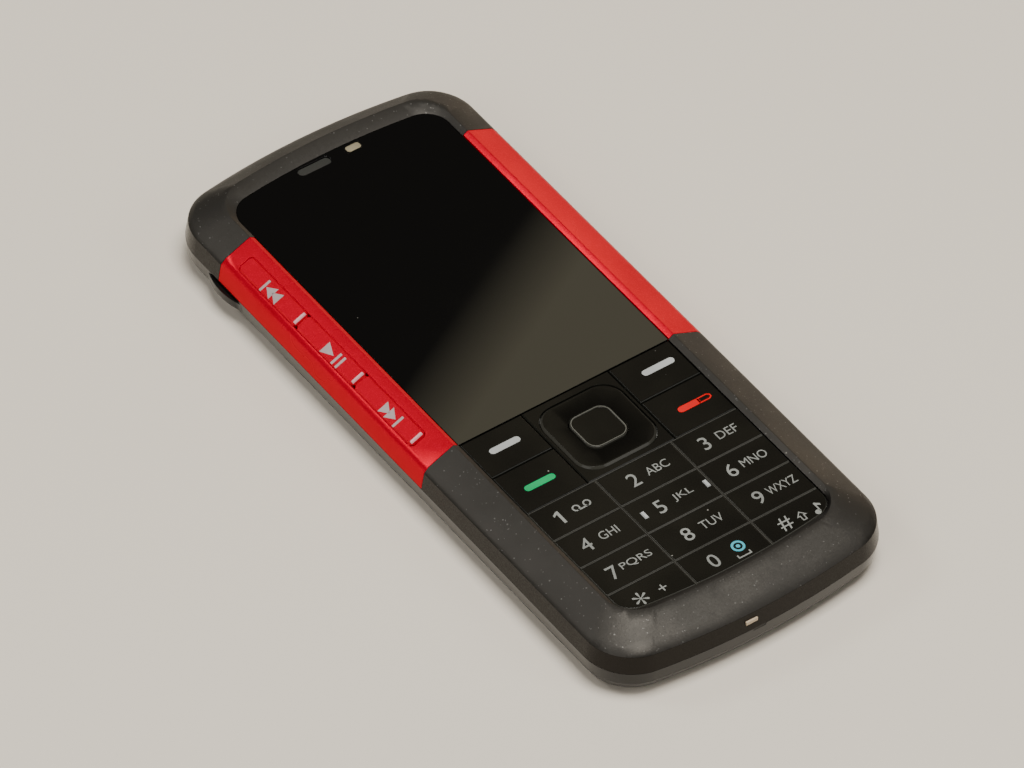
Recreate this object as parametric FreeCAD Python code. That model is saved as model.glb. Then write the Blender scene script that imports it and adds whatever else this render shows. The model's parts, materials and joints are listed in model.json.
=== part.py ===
import FreeCAD, Part
import math
import os
from FreeCAD import Vector

os.makedirs("parts", exist_ok=True)

# Candybar phone lying on its back. Millimetres, +Z up through the display, +Y towards the earpiece.
# The origin is the middle of the flat back.

# Overall form
body_width = 44.7
body_length = 103.8
body_height = 9.9
corner_radius = 7.0
end_radius = 110.0        # bow of both ends in plan
back_round = 2.6          # rounding between the back and the side wall
back_steps = 3            # facets of that rounding
side_bulge = 0.4          # bow of the side wall, greatest at the joint between front and back
joint_height = 4.7        # of that joint above the back
rim_steps = 1             # facets of the side above the joint, and below it down to the back
wall_steps = 1
wall = 1.2                # side wall of the mid frame
rim_wall = 0.6            # apron of the front cover and the strips, outside the side wall
rim_height = 2.5          # height of the front cover above the side wall
shoulder_inset = 0.7      # short steep facet at the outer edge of the front cover
shoulder_rise = 0.72
ridge_inset_side = 4.55
ridge_inset_top = 3.5
ridge_inset_bottom = 5.3
ridge_corner = 5.2
ridge_flat = 0.16
skirt_width = 0.9         # straight lips of the front cover that plug into the side wall
skirt_depth = 1.0
beyond = 5.0              # how far cutting blocks reach past the body
bite = 0.1                # how far joined features reach into each other

# Opening that holds the display window and the keypad
basin_depth = 0.5
opening_inset_side = 0.9  # measured from the ridge
opening_inset_top = 2.4
opening_inset_bottom = 1.1
opening_corner_top = 3.8
opening_corner_bottom = 3.0
window_thickness = 0.9
ledge_width = 1.2

# Clearances
seam = 0.05               # fixed pieces set into each other
panel_gap = 0.1
key_gap = 0.16
rail_gap = 0.12

# Trim strips and music keys
trim_end_inset = 13.6     # strips stop this far from the top end
trim_deep_inset = 3.85    # outer part of a strip that stands on the side wall
music_key_width = 2.55
music_key_length = 13.2
music_key_inset = 1.45    # from the ridge, along the slope
music_low_margin = 4.1    # strip below the music keys
music_keys = 3
music_key_depth = 0.75
music_key_proud = 0.2
music_key_foot = 1.7
music_foot_half = 0.5
music_key_edge = 0.18
music_key_corner = 0.4
music_ridge_half = 0.95   # raised ridge across each music key
music_ridge_width = 0.4
music_ridge_place = 0.4   # from the key's low end
music_ridge_height = 0.2
music_ridge_edge = 0.12

# Keypad
column_line = 6.1         # the lines between the columns lie at this distance each side of the middle
row_pitch = 5.8
number_rows_height = 22.45  # from the low end of the opening
call_key_height = 7.75
soft_key_height = 7.3
cap_thickness = 0.9
cap_edge = 0.14
nib_left = -4.45          # raised finger marks on the middle key
nib_right = 5.5
nib_width = 0.5
nib_length = 1.2
nib_height = 0.15
nib_edge = 0.1
key_travel = 0.3
dome_slack = 0.05         # left between a pressed key's foot and its dome
foot_half = 1.0
foot_room = 0.2           # round a foot, in the keypad sheet
nav_centre_height = 7.45  # above the number keys
nav_bezel_half = 7.0
nav_ring_half = 6.3
nav_ring_corner = 3.1
nav_ring_proud = 0.14
nav_nub_reach = 5.2
nav_nub_half = 0.4
nav_edge = 0.3
nav_dish = 0.22           # the ring's top falls this far towards the centre key
nav_dish_rim = 0.2        # level rim left round the dish
nav_bezel_post = (8.0, 0.7)
nav_bezel_post_inset = 0.4
nav_pad_half = 4.5
nav_pad_hole = 3.45
nav_pad_thickness = 0.35
nav_pad_drop = 0.2
select_half = 3.2
select_corner = 1.7
select_rim = 0.28
select_dish = 0.1
select_edge = 0.12
select_foot_half = 0.8

# Stack inside the phone
cover_wall = 1.0
battery_width = 34.0
battery_length = 51.0
battery_thickness = 3.8
battery_lift = 0.15
battery_end_room = 6.7    # below the battery, for the motor and the microphone
battery_clear = 0.15
battery_pad_pitch = 3.2
battery_pad_width = 2.0
battery_pad_depth = 0.3
battery_pad_margin = 1.0
bay_rib = 0.8
bay_rib_lift = 1.0
web_thickness = 0.8
web_margin = 0.3          # web beyond the middle screws' heads
gusset_length = 3.0       # corner plates for the top screws
gusset_reach = 1.7
board_thickness = 0.8
board_inset = 2.5
display_width = 31.0
display_length = 41.9
display_low_gap = 2.0     # from the end of the window
display_side_gap = 0.2    # in the front cover
display_rim = 0.5
display_recess = 0.1
display_driver_strip = 3.2
display_flex_inset = 6.0
display_flex_height = 0.3
keymat_margin = 0.7
keymat_thickness = 0.6
keymat_lift = 0.85
keymat_skirt = 0.8
dome_sheet_thickness = 0.1
dome_height = 0.2
dome_half = 1.9
nav_dome_half = 1.1       # the five domes under the four-way key are smaller
dome_leg = 0.65           # half width of a dome's leg as a share of the dome's
dome_bend = 0.8           # share of a dome's height that its edge slopes over

# Battery cover and its rails
rear_length = 27.9        # rear housing, from the top end to the cover's joint
cover_shell = 1.3
cover_tongue = 1.5
cover_tongue_half = 9.0
rail_end_room = 7.3       # from the bottom end to the rails
rail_high_room = 4.0      # from the rails to the cover's joint
rail_inset = 1.4          # outer face of the rail's flange from the outside of the phone
rail_flange = 0.65
rail_stem = 0.6
rail_flange_height = 0.45
rail_drop = 1.1           # how far the rail hangs below the side wall
lip_height = 0.42
lip_width = 0.6

# Screws
screw_radius = 0.7
screw_head_radius = 1.25
screw_head_height = 0.75
screw_boss_radius = 1.2
screw_bite = 0.7          # how far a screw's tip reaches above the side wall
screw_spare = 0.14        # pilot hole beyond the tip
screw_socket_half = 0.55
screw_socket_depth = 0.3
screw_middle_side = 5.05  # from the sides, the ends and the cover's joint
screw_middle_drop = 0.8
screw_top_side = 5.35
screw_top_end = 5.6
screw_bottom_side = 5.95
screw_bottom_end = 4.3

# Sockets in the top end
audio_x = 12.1
audio_axis_height = 4.9
audio_bore_radius = 1.775
audio_depth = 13.5
audio_nose_radius = 2.1
audio_body_width = 5.6
audio_back = 0.9          # closed end behind the bore
audio_body_share = 0.42   # share of the body's width that lies below the axis
audio_notch = 1.6         # board cut-out beyond the bore's length
charger_x = -13.0
charger_axis_height = 4.2
charger_bore_radius = 1.05
charger_pin_radius = 0.25
charger_pin_recess = 1.0  # pin's end below the mouth
charger_depth = 8.0
charger_nose_radius = 1.45
charger_body_width = 3.8
charger_body_length = 9.6
usb_x = -5.3
usb_width = 6.9
usb_height = 1.85
usb_shell = 0.3
usb_length = 5.6
usb_back = 0.6
usb_tongue = 0.6
usb_tongue_half = 1.85
usb_tongue_gap = 0.2
usb_tongue_recess = 1.0

# Side keys
power_x = 4.6
power_width = 5.6
power_height = 2.2
power_axis_height = 4.7
power_flange = 0.4
power_lip = 0.5
power_travel = 0.25
power_proud = 0.35        # beyond the nominal end, where the wall bows out
volume_inset = 30.9       # from the top end to the rocker's pivot
volume_length = 18.0
volume_height = 2.6
volume_axis_height = 4.9
volume_proud = 0.75
volume_depth = 1.1
volume_taper = 1.6
volume_end_drop = 0.35
volume_waist = 0.2
end_cut = 3.0             # reach of the holes cut through the end walls
strap_inset = 14.9        # from the top end
strap_length = 8.8
strap_height = 1.1
strap_axis_height = 3.6
strap_proud = 1.0
strap_bar = 0.75
strap_recess = 0.6        # room behind the loop, beyond the wall
strap_room = 0.25         # and above and below it
strap_window = 0.6        # share of the loop's length that is open
switch_board = 0.4
switch_height = 0.15
switch_width = 1.0
switch_length = 2.0
switch_margin = 0.5
switch_ledge = 0.2
power_switch_depth = 0.7

# Devices
camera_inset = 11.4       # from the top end
camera_size = 8.0
camera_barrel_radius = 3.0
camera_iris_radius = 1.4
camera_window_radius = 3.2
camera_bezel_width = 1.6
camera_recess = 0.5
camera_bezel_recess = 0.1
camera_bezel_grip = 0.3   # bezel beyond the inside of the housing
camera_glass = 0.6
camera_dish = 0.8         # width of the cone cut into the bezel
camera_cover_lip = 0.2    # bezel lip over the window
camera_gap = 0.35         # between the housing and the barrel
camera_barrel_height = 0.75
camera_iris_depth = 0.9
speaker_side = 11.85      # from the side, and from the cover's joint
speaker_offset = 6.5
speaker_width = 15.0
speaker_length = 9.4
speaker_height = 3.2
speaker_slots = 3
speaker_slot_width = 1.1
speaker_slot_length = 6.4
speaker_slot_pitch = 2.8
speaker_mesh = 0.2
speaker_frame = 1.2
speaker_cone_depth = 0.35
speaker_mesh_margin = 0.6
earpiece_x = -2.7
earpiece_y = 44.8
earpiece_slot_length = 5.2
earpiece_slot_width = 1.5
earpiece_width = 9.8
earpiece_length = 4.6
earpiece_height = 1.7
sensor_x = 3.6
sensor_width = 2.5
sensor_length = 1.4
grille_recess = 0.25
motor_inset = 3.6         # from the bottom end
motor_axis_height = 3.35
motor_radius = 1.55
motor_low = 6.0
motor_length = 7.0
motor_shaft_radius = 0.35
motor_shaft_length = 3.0
motor_cradle_inset = 1.0
motor_cradle_half = 1.1
weight_radius = 1.5
weight_length = 2.4
weight_gap = 0.3
weight_cut = 0.75         # the weight's flat above its axis
microphone_x = -1.0
microphone_size = 3.4
microphone_depth = 2.9
microphone_height = 1.4
microphone_slot = 2.0
microphone_slot_height = 0.5
antenna_width = 13.5
antenna_length = 8.6
antenna_height = 3.4
antenna_side = 10.05      # from the side
antenna_shell = 0.7
sim_width = 15.0
sim_length = 13.0
sim_thickness = 0.76
sim_x = -9.4
holder_gap = 0.15         # between the battery's contacts and the card holders
card_width = 11.0
card_length = 13.0
card_thickness = 0.9
card_x = 10.0
holder_wall = 0.3
holder_band = 3.5         # metal left round the window in a holder
contact_width = 11.0
contact_length = 2.6
contact_height = 2.4
contact_spring_half = 0.6
contact_spring_low = 1.7
contact_spring_high = 0.7
can_height = 1.0
can_length = 9.5
can_width = 16.5
can_gap = 2.4

# Heights worked out from the stack
half_width = body_width / 2
half_length = body_length / 2
frame_low = back_round
frame_high = body_height - rim_height
shoulder_z = frame_high + shoulder_rise
glass_top = body_height - basin_depth
ledge_top = glass_top - window_thickness
web_low = cover_wall + battery_lift + battery_thickness + panel_gap
board_low = web_low + web_thickness
board_high = board_low + board_thickness
keymat_low = board_high + keymat_lift
keymat_high = keymat_low + keymat_thickness
cap_low = glass_top - cap_thickness
dome_top = board_high + dome_sheet_thickness + dome_height
foot_low = dome_top + key_travel + dome_slack
microphone_mid = board_low - microphone_height

# Plan positions worked out from the sizes
ridge_half = half_width - ridge_inset_side
ridge_high = half_length - ridge_inset_top
ridge_low = -half_length + ridge_inset_bottom
opening_half = ridge_half - opening_inset_side
opening_high = ridge_high - opening_inset_top
opening_low = ridge_low + opening_inset_bottom
screw_top = frame_high + screw_bite
slope = math.atan2(rim_height - shoulder_rise, ridge_inset_side - shoulder_inset)
rail_outer = half_width - rail_inset
rail_stem_outer = rail_outer - rail_flange
rail_stem_inner = rail_stem_outer - rail_stem
rail_z = frame_low - rail_drop
row_top = opening_low + number_rows_height
call_split = row_top + call_key_height
window_end = call_split + soft_key_height   # where the window stops and the keypad starts
nav_centre = row_top + nav_centre_height
trim_low = window_end
trim_high = half_length - trim_end_inset
music_key_low = trim_low + music_low_margin
display_low = window_end + display_low_gap
cover_split = half_length - rear_length
rail_low = rail_end_room - half_length
rail_high = cover_split - rail_high_room
battery_low = battery_end_room - half_length
battery_high = battery_low + battery_length
sim_y = battery_high + battery_clear + contact_length + holder_gap + sim_length / 2
volume_y = half_length - volume_inset
strap_y = half_length - strap_inset
camera_y = half_length - camera_inset
speaker_x = half_width - speaker_side
speaker_y = cover_split + speaker_offset
antenna_x = antenna_side - half_width
motor_y = motor_inset - half_length
screw_middle_x = half_width - screw_middle_side
screw_middle_y = cover_split - screw_middle_drop
screw_top_x = half_width - screw_top_side
screw_top_y = half_length - screw_top_end
screw_bottom_x = half_width - screw_bottom_side
screw_bottom_y = screw_bottom_end - half_length


def plan_wire(half, low, high, low_corner, high_corner, z):
    """Closed plan outline with straight sides, round corners and bowed ends."""
    def corner(end_y, radius, side):
        bow_centre = end_y - side * end_radius
        centre_x = half - radius
        centre_y = bow_centre + side * math.sqrt((end_radius - radius) ** 2 - centre_x ** 2)
        reach = end_radius / (end_radius - radius)
        touch = (centre_x * reach, bow_centre + (centre_y - bow_centre) * reach)
        turn = math.atan2(side * (touch[1] - centre_y), touch[0] - centre_x) / 2
        middle = (centre_x + radius * math.cos(turn), centre_y + side * radius * math.sin(turn))
        return centre_y, middle, touch

    top_y, top_middle, top_touch = corner(high, high_corner, 1)
    low_y, low_middle, low_touch = corner(low, low_corner, -1)

    def at(point, flip=1):
        return Vector(flip * point[0], point[1], z)

    def arc(a, b, c):
        return Part.Arc(a, b, c).toShape()

    def line(a, b):
        return Part.LineSegment(a, b).toShape()

    edges = [
        line(at((half, low_y)), at((half, top_y))),
        arc(at((half, top_y)), at(top_middle), at(top_touch)),
        arc(at(top_touch), at((0, high)), at(top_touch, -1)),
        arc(at(top_touch, -1), at(top_middle, -1), at((half, top_y), -1)),
        line(at((half, top_y), -1), at((half, low_y), -1)),
        arc(at((half, low_y), -1), at(low_middle, -1), at(low_touch, -1)),
        arc(at(low_touch, -1), at((0, low)), at(low_touch)),
        arc(at(low_touch), at(low_middle), at((half, low_y))),
    ]
    return Part.Wire(edges)


def body_wire(inset, z):
    radius = corner_radius - inset
    return plan_wire(half_width - inset, inset - half_length, half_length - inset, radius, radius, z)


def side_wire(z):
    """Outline of the bowed side at a height: a quarter ellipse below the joint, a flatter curve above."""
    if z >= joint_height:
        share = (z - joint_height) / (frame_high - joint_height)
        return body_wire(-side_bulge * (1 - share ** 2), z)
    share = (joint_height - z) / joint_height
    return body_wire((back_round + side_bulge) * (1 - math.sqrt(1 - share ** 2)) - side_bulge, z)


def side_form(low, high, steps):
    """Solid between two heights of the bowed side, in facets that turn evenly below the joint."""
    heights = []
    for step in range(steps + 1):
        if low >= joint_height:
            heights.append(low + (high - low) * step / steps)
        else:
            first = math.asin(1 - low / joint_height)
            last = math.asin(1 - high / joint_height)
            heights.append(joint_height * (1 - math.sin(first + (last - first) * step / steps)))
    return Part.makeLoft([side_wire(z) for z in heights], True, True)


def ridge_wire(inset, z):
    radius = ridge_corner - inset
    return plan_wire(ridge_half - inset, ridge_low + inset, ridge_high - inset, radius, radius, z)


def opening_wire(inset, z):
    return plan_wire(opening_half - inset, opening_low + inset, opening_high - inset,
                     opening_corner_bottom - inset, opening_corner_top - inset, z)


def prism(wire, height):
    return Part.Face(wire).extrude(Vector(0, 0, height))


def body_prism(inset, low, high):
    return prism(body_wire(inset, low), high - low)


def box(x, y, z, radius=0.0):
    """Box between the pairs of limits, its upright edges rounded by radius."""
    solid = Part.makeBox(x[1] - x[0], y[1] - y[0], z[1] - z[0], Vector(x[0], y[0], z[0]))
    if radius:
        upright = [e for e in solid.Edges if abs(e.Vertexes[0].Z - e.Vertexes[1].Z) > 1e-6]
        solid = solid.makeFillet(radius, upright)
    return solid


def centred_box(x, y, width, length, z, radius=0.0):
    return box((x - width / 2, x + width / 2), (y - length / 2, y + length / 2), z, radius)


def post(x, y, radius, low, high):
    return Part.makeCylinder(radius, high - low, Vector(x, y, low), Vector(0, 0, 1))


def octagon(x, y, reach, cut, z):
    """Square outline of half width reach with its corners cut off to leave flats from -cut to cut."""
    corners = [(reach, cut), (cut, reach), (-cut, reach), (-reach, cut),
               (-reach, -cut), (-cut, -reach), (cut, -reach), (reach, -cut)]
    points = [Vector(x + dx, y + dy, z) for dx, dy in corners]
    return Part.makePolygon(points + points[:1])


def frustum(low, high):
    """Solid with flat faces between two level polygons with as many corners."""
    starts = [corner.Point for corner in low.OrderedVertexes]
    ends = [corner.Point for corner in high.OrderedVertexes]
    faces = [Part.Face(low), Part.Face(high)]
    for index in range(len(starts)):
        corners = [starts[index - 1], starts[index], ends[index], ends[index - 1]]
        faces.append(Part.Face(Part.makePolygon(corners + corners[:1])))
    return Part.Solid(Part.Shell(faces))


def faceted_post(x, y, radius, low, high):
    """Eight-sided post, for small round features inside the phone."""
    return prism(octagon(x, y, radius, radius * math.tan(math.pi / 8), low), high - low)


def faceted_rod(start, radius, length):
    """Eight-sided rod along +X."""
    upright = faceted_post(0, 0, radius, 0, length)
    upright.rotate(Vector(0, 0, 0), Vector(0, 1, 0), 90)
    upright.translate(start)
    return upright


def rod(start, radius, length, axis):
    return Part.makeCylinder(radius, length, start, axis)


def join(first, *others):
    solid = first
    for other in others:
        solid = solid.fuse(other)
    return solid.removeSplitter()


def softened_top(solid, edge, top):
    """Chamfer along the upper edges of a key cap."""
    upper = [e for e in solid.Edges if all(abs(v.Z - top) < 1e-6 for v in e.Vertexes)]
    return solid.makeChamfer(edge, upper)


everywhere_x = (-half_width - beyond, half_width + beyond)

# Front form: side facets up to a ridge, then a shallow bevel down to the window and keys
front_form = Part.makeLoft([
    body_wire(0, frame_high),
    body_wire(shoulder_inset, shoulder_z),
    ridge_wire(0, body_height),
], True, True)
basin = Part.makeLoft([
    opening_wire(0, glass_top),
    ridge_wire(ridge_flat, body_height),
], True, True)
front_form = front_form.cut(basin)

# Back form: flat back rounded into the side wall
back_form = side_form(0, frame_low, back_steps)

# Apron: the front cover and the strips reach down outside the side wall
apron = side_form(joint_height, frame_high, rim_steps)
apron = apron.cut(body_prism(rim_wall, joint_height - 1, frame_high + 1))

screw_places = []
for side in (-1, 1):
    screw_places.append((side * screw_top_x, screw_top_y))
    screw_places.append((side * screw_middle_x, screw_middle_y))
    screw_places.append((side * screw_bottom_x, screw_bottom_y))


def strip_zone(side, inset, gap, low, high):
    """Room of a trim strip: from inset outside the ridge's foot to beyond the side wall."""
    inner = opening_half + inset
    xs = sorted((side * (inner + gap), side * (half_width + 1)))
    return box(xs, (trim_low + gap, trim_high - gap), (low, high))


trim_step = ledge_top
deep_start = half_width - trim_deep_inset - opening_half


def end_openings(solid):
    """Holes in both ends for the sockets, the power key and the microphone."""
    inward = half_length - end_cut
    for x, z, radius in ((audio_x, audio_axis_height, audio_nose_radius),
                         (charger_x, charger_axis_height, charger_nose_radius)):
        solid = solid.cut(rod(Vector(x, inward, z), radius + panel_gap, 2 * end_cut, Vector(0, 1, 0)))
    usb_low = board_low - usb_height - 2 * usb_shell - panel_gap
    usb_reach = usb_width + 2 * (usb_shell + panel_gap)
    solid = solid.cut(centred_box(usb_x, half_length, usb_reach, 2 * end_cut,
                                  (usb_low, board_low + panel_gap)))
    solid = solid.cut(centred_box(power_x, half_length, power_width + 2 * panel_gap, 2 * end_cut,
                                  (power_axis_height - power_height / 2 - panel_gap,
                                   power_axis_height + power_height / 2 + panel_gap)))
    return solid.cut(centred_box(microphone_x, -half_length, microphone_slot, 2 * end_cut,
                                 (microphone_mid - microphone_slot_height / 2,
                                  microphone_mid + microphone_slot_height / 2)))


def socket_seat(gap):
    """Block of the mid frame that reaches up through the apron and holds the audio socket's whole hole."""
    reach = audio_nose_radius + wall - gap
    return box((audio_x - reach, audio_x + reach), (half_length - end_cut, half_length + beyond),
               (joint_height - 1, frame_high + 1))


def rocker_room():
    reach = volume_length / 2 + 2 * panel_gap
    return box((rail_stem_outer, half_width + 1), (volume_y - reach, volume_y + reach),
               (volume_axis_height - volume_height / 2 - panel_gap,
                volume_axis_height + volume_height / 2 + panel_gap))


# Front cover: the grey moulded frame
def front_cover():
    solid = join(front_form, end_openings(apron.cut(socket_seat(0))))
    window_room = prism(opening_wire(0, ledge_top), window_thickness)
    solid = solid.cut(window_room.common(box(everywhere_x, (window_end, half_length), (0, body_height))))
    display_reach = display_width / 2 + display_side_gap
    display_room = box((-display_reach, display_reach),
                       (window_end + ledge_width - panel_gap, display_low + display_length + panel_gap * 3),
                       (frame_high - 1, ledge_top))
    solid = solid.cut(display_room)
    earpiece_room = centred_box(earpiece_x, earpiece_y, earpiece_width + 2 * panel_gap,
                                earpiece_length + 2 * panel_gap, (frame_high - 1, ledge_top))
    sensor_room = centred_box(sensor_x, earpiece_y, sensor_width + 2 * panel_gap,
                              sensor_length + 2 * panel_gap, (frame_high - 1, ledge_top))
    solid = solid.cut(earpiece_room).cut(sensor_room)
    key_room = prism(opening_wire(0, frame_high - 1), body_height)
    key_zone = box(everywhere_x, (-half_length, window_end + seam), (frame_high - 1, body_height))
    solid = solid.cut(key_room.common(key_zone))
    mat_room = box((-opening_half - keymat_margin - panel_gap, opening_half + keymat_margin + panel_gap),
                   (opening_low - keymat_margin - panel_gap, window_end),
                   (frame_high - 1, keymat_high + panel_gap), opening_corner_bottom)
    solid = solid.cut(mat_room.common(key_zone))
    lip_outer = half_width - wall - panel_gap
    lip_end = end_height(half_width) - corner_radius
    for side in (-1, 1):
        xs = sorted((side * (lip_outer - skirt_width), side * lip_outer))
        solid = join(solid, box(xs, (-lip_end, lip_end), (frame_high - skirt_depth, frame_high)))
        solid = solid.cut(strip_zone(side, 0, 0, trim_step, body_height + 1))
        solid = solid.cut(strip_zone(side, deep_start, 0, frame_high - beyond, body_height + 1))
    for x, y in screw_places:
        solid = join(solid, faceted_post(x, y, screw_boss_radius, board_high, frame_high + bite))
    for x, y in screw_places:
        pilot = faceted_post(x, y, screw_radius + seam, board_high - bite, screw_top + screw_spare)
        solid = solid.cut(pilot)
    return solid


def display_window():
    plate = prism(opening_wire(seam, ledge_top), window_thickness)
    plate = plate.common(box(everywhere_x, (window_end + seam, half_length), (0, body_height)))
    slot = centred_box(earpiece_x, earpiece_y, earpiece_slot_length, earpiece_slot_width,
                       (0, body_height), earpiece_slot_width / 2 - seam)
    eye = centred_box(sensor_x, earpiece_y, sensor_width, sensor_length, (0, body_height))
    return plate.cut(slot).cut(eye)


def earpiece_grille():
    return centred_box(earpiece_x, earpiece_y, earpiece_slot_length - 2 * seam,
                       earpiece_slot_width - 2 * seam, (ledge_top - panel_gap, glass_top - grille_recess),
                       earpiece_slot_width / 2 - 2 * seam)


def light_sensor():
    eye = centred_box(sensor_x, earpiece_y, sensor_width - 2 * seam, sensor_length - 2 * seam,
                      (ledge_top - seam, glass_top - seam))
    return join(eye, centred_box(sensor_x, earpiece_y, sensor_width, sensor_length,
                                 (board_high, ledge_top - seam)))


# Slope frame of a side facet: s runs down the slope from the ridge, n stands out of it
def on_slope(side, s, n, y):
    x = ridge_half + s * math.cos(slope) + n * math.sin(slope)
    z = body_height - s * math.sin(slope) + n * math.cos(slope)
    return Vector(side * x, y, z)


def slope_block(side, s, n, y, corner=0.0):
    """Block given in the slope frame, extruded along the phone, with its corners cut off."""
    corners = [on_slope(side, s[0], n[0], y[0]), on_slope(side, s[1], n[0], y[0]),
               on_slope(side, s[1], n[1], y[0]), on_slope(side, s[0], n[1], y[0])]
    face = Part.Face(Part.makePolygon(corners + corners[:1]))
    solid = face.extrude(Vector(0, y[1] - y[0], 0))
    if corner:
        normal = on_slope(side, 0, 1, 0) - on_slope(side, 0, 0, 0)
        chosen = []
        for edge in solid.Edges:
            run = edge.Vertexes[1].Point - edge.Vertexes[0].Point
            if abs(abs(run.normalize().dot(normal)) - 1) < 1e-6:
                chosen.append(edge)
        solid = solid.makeChamfer(corner, chosen)
    return solid


music_key_s = (music_key_inset, music_key_inset + music_key_width)
music_key_high = music_key_low + music_keys * music_key_length


def trim(side):
    thin = front_form.common(strip_zone(side, seam, seam, trim_step, body_height + 1))
    deep = front_form.common(strip_zone(side, deep_start, seam, frame_high, body_height + 1))
    low = apron.common(strip_zone(side, deep_start, seam, joint_height - 1, frame_high))
    solid = join(thin, deep, low)
    if side > 0:
        solid = solid.cut(rocker_room())
    if side < 0:
        slot = slope_block(side, (music_key_s[0] - panel_gap, music_key_s[1] + panel_gap), (-beyond, beyond),
                           (music_key_low - panel_gap, music_key_high + panel_gap),
                           music_key_corner + panel_gap)
        solid = solid.cut(slot)
    return solid


def softened_slope(solid, edge, top):
    """Chamfer along the upper edges of a block that stands top out of the left slope."""
    normal = on_slope(-1, 0, 1, 0) - on_slope(-1, 0, 0, 0)
    upper = []
    for line in solid.Edges:
        height = [(v.Point - on_slope(-1, 0, top, 0)).dot(normal) for v in line.Vertexes]
        if all(abs(h) < 1e-6 for h in height):
            upper.append(line)
    return solid.makeChamfer(edge, upper)


def music_key(index):
    low = music_key_low + index * music_key_length + seam
    high = low + music_key_length - 2 * seam
    cap = slope_block(-1, music_key_s, (-music_key_depth, music_key_proud), (low, high),
                      music_key_corner)
    cap = softened_slope(cap, music_key_edge, music_key_proud)
    middle = sum(music_key_s) / 2
    ridge_top = music_key_proud + music_ridge_height
    ridge_low = low + music_ridge_place - music_ridge_width / 2
    ridge = slope_block(-1, (middle - music_ridge_half, middle + music_ridge_half),
                        (music_key_proud - bite, ridge_top), (ridge_low, ridge_low + music_ridge_width))
    ridge = softened_slope(ridge, music_ridge_edge, ridge_top)
    foot = slope_block(-1, (middle - music_foot_half, middle + music_foot_half),
                       (-music_key_foot, bite - music_key_depth),
                       ((low + high) / 2 - music_foot_half, (low + high) / 2 + music_foot_half))
    return join(cap, foot, ridge)


# Mid frame: the side wall, the web that carries the board, the battery bay and the cover's rails
def mid_frame():
    ring = join(side_form(frame_low, joint_height, wall_steps), side_form(joint_height, frame_high, rim_steps))
    ring = ring.cut(body_prism(wall, frame_low - 1, frame_high + 1))
    apron_room = box(everywhere_x, (-half_length - beyond, half_length + beyond),
                     (joint_height - seam, frame_high + 1))
    apron_room = apron_room.cut(body_prism(rim_wall + seam, joint_height - 1, frame_high + 2))
    ring = ring.cut(apron_room.cut(socket_seat(seam)))
    inside = body_prism(wall - bite, web_low, board_low)
    web_end = screw_middle_y + screw_head_radius + web_margin
    web = inside.common(box(everywhere_x, (-half_length, web_end), (0, body_height)))
    gussets = []
    for side in (-1, 1):
        xs = sorted((side * half_width, side * (screw_top_x - gusset_reach)))
        gussets.append(inside.common(box(xs, (screw_top_y - gusset_length, half_length), (0, body_height))))
    solid = join(ring, web, *gussets)
    bay_half = battery_width / 2 + battery_clear
    bay_low = battery_low - battery_clear
    bay_high = battery_high + battery_clear
    rib_z = (cover_wall + battery_lift + bay_rib_lift, web_low + bite)
    for side in (-1, 1):
        xs = sorted((side * bay_half, side * (bay_half + bay_rib)))
        solid = solid.fuse(box(xs, (bay_low - bay_rib, bay_high + bay_rib), rib_z))
        stem = sorted((side * rail_stem_inner, side * rail_stem_outer))
        flange = sorted((side * rail_stem_inner, side * rail_outer))
        solid = solid.fuse(box(stem, (rail_low, rail_high), (rail_z, web_low + bite)))
        solid = solid.fuse(box(flange, (rail_low, rail_high), (rail_z, rail_z + rail_flange_height)))
    for ys in ((bay_low - bay_rib, bay_low), (bay_high, bay_high + bay_rib)):
        solid = solid.fuse(box((-bay_half, bay_half), ys, rib_z))
    solid = solid.cut(box((-contact_width / 2 - panel_gap, contact_width / 2 + panel_gap),
                          (bay_high - bite, bay_high + bay_rib + bite), (0, web_low)))
    ledge_low = music_key_low - 2 * switch_margin
    ledge_high = music_key_high + switch_margin
    ledge = box((-half_width + wall - bite, -half_width + board_inset - panel_gap), (ledge_low, ledge_high),
                (web_low, board_low + switch_ledge))
    solid = solid.fuse(ledge)
    solid = solid.removeSplitter()
    for x, y in screw_places:
        solid = solid.cut(faceted_post(x, y, screw_radius + panel_gap, web_low - bite, board_low + bite))
    solid = end_openings(solid).cut(rocker_room())
    return strap_loop(solid)


def strap_loop(solid):
    low = strap_axis_height - strap_height / 2
    high = strap_axis_height + strap_height / 2
    end = strap_length / 2
    room = box((-half_width - beyond, -half_width + wall + strap_recess),
               (strap_y - end * strap_window, strap_y + end * strap_window),
               (low - strap_room, high + strap_room))

    def bow(inset, length):
        x = -half_width + inset
        arc = Part.Arc(Vector(x, strap_y - length, low), Vector(x - strap_proud, strap_y, low),
                       Vector(x, strap_y + length, low)).toShape()
        root = x + 2 * bite
        inner = [Vector(x, strap_y + length, low), Vector(root, strap_y + length, low),
                 Vector(root, strap_y - length, low), Vector(x, strap_y - length, low)]
        return Part.Wire([arc] + Part.makePolygon(inner).Edges)

    bar = prism(bow(0, end), high - low)
    behind = prism(bow(strap_bar, end * strap_window), high - low)
    return join(solid.cut(room), bar.cut(behind))


# Back pieces
def back_shell():
    hollow = body_prism(cover_shell, cover_wall, frame_low + 1)
    return back_form.cut(hollow)


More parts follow.
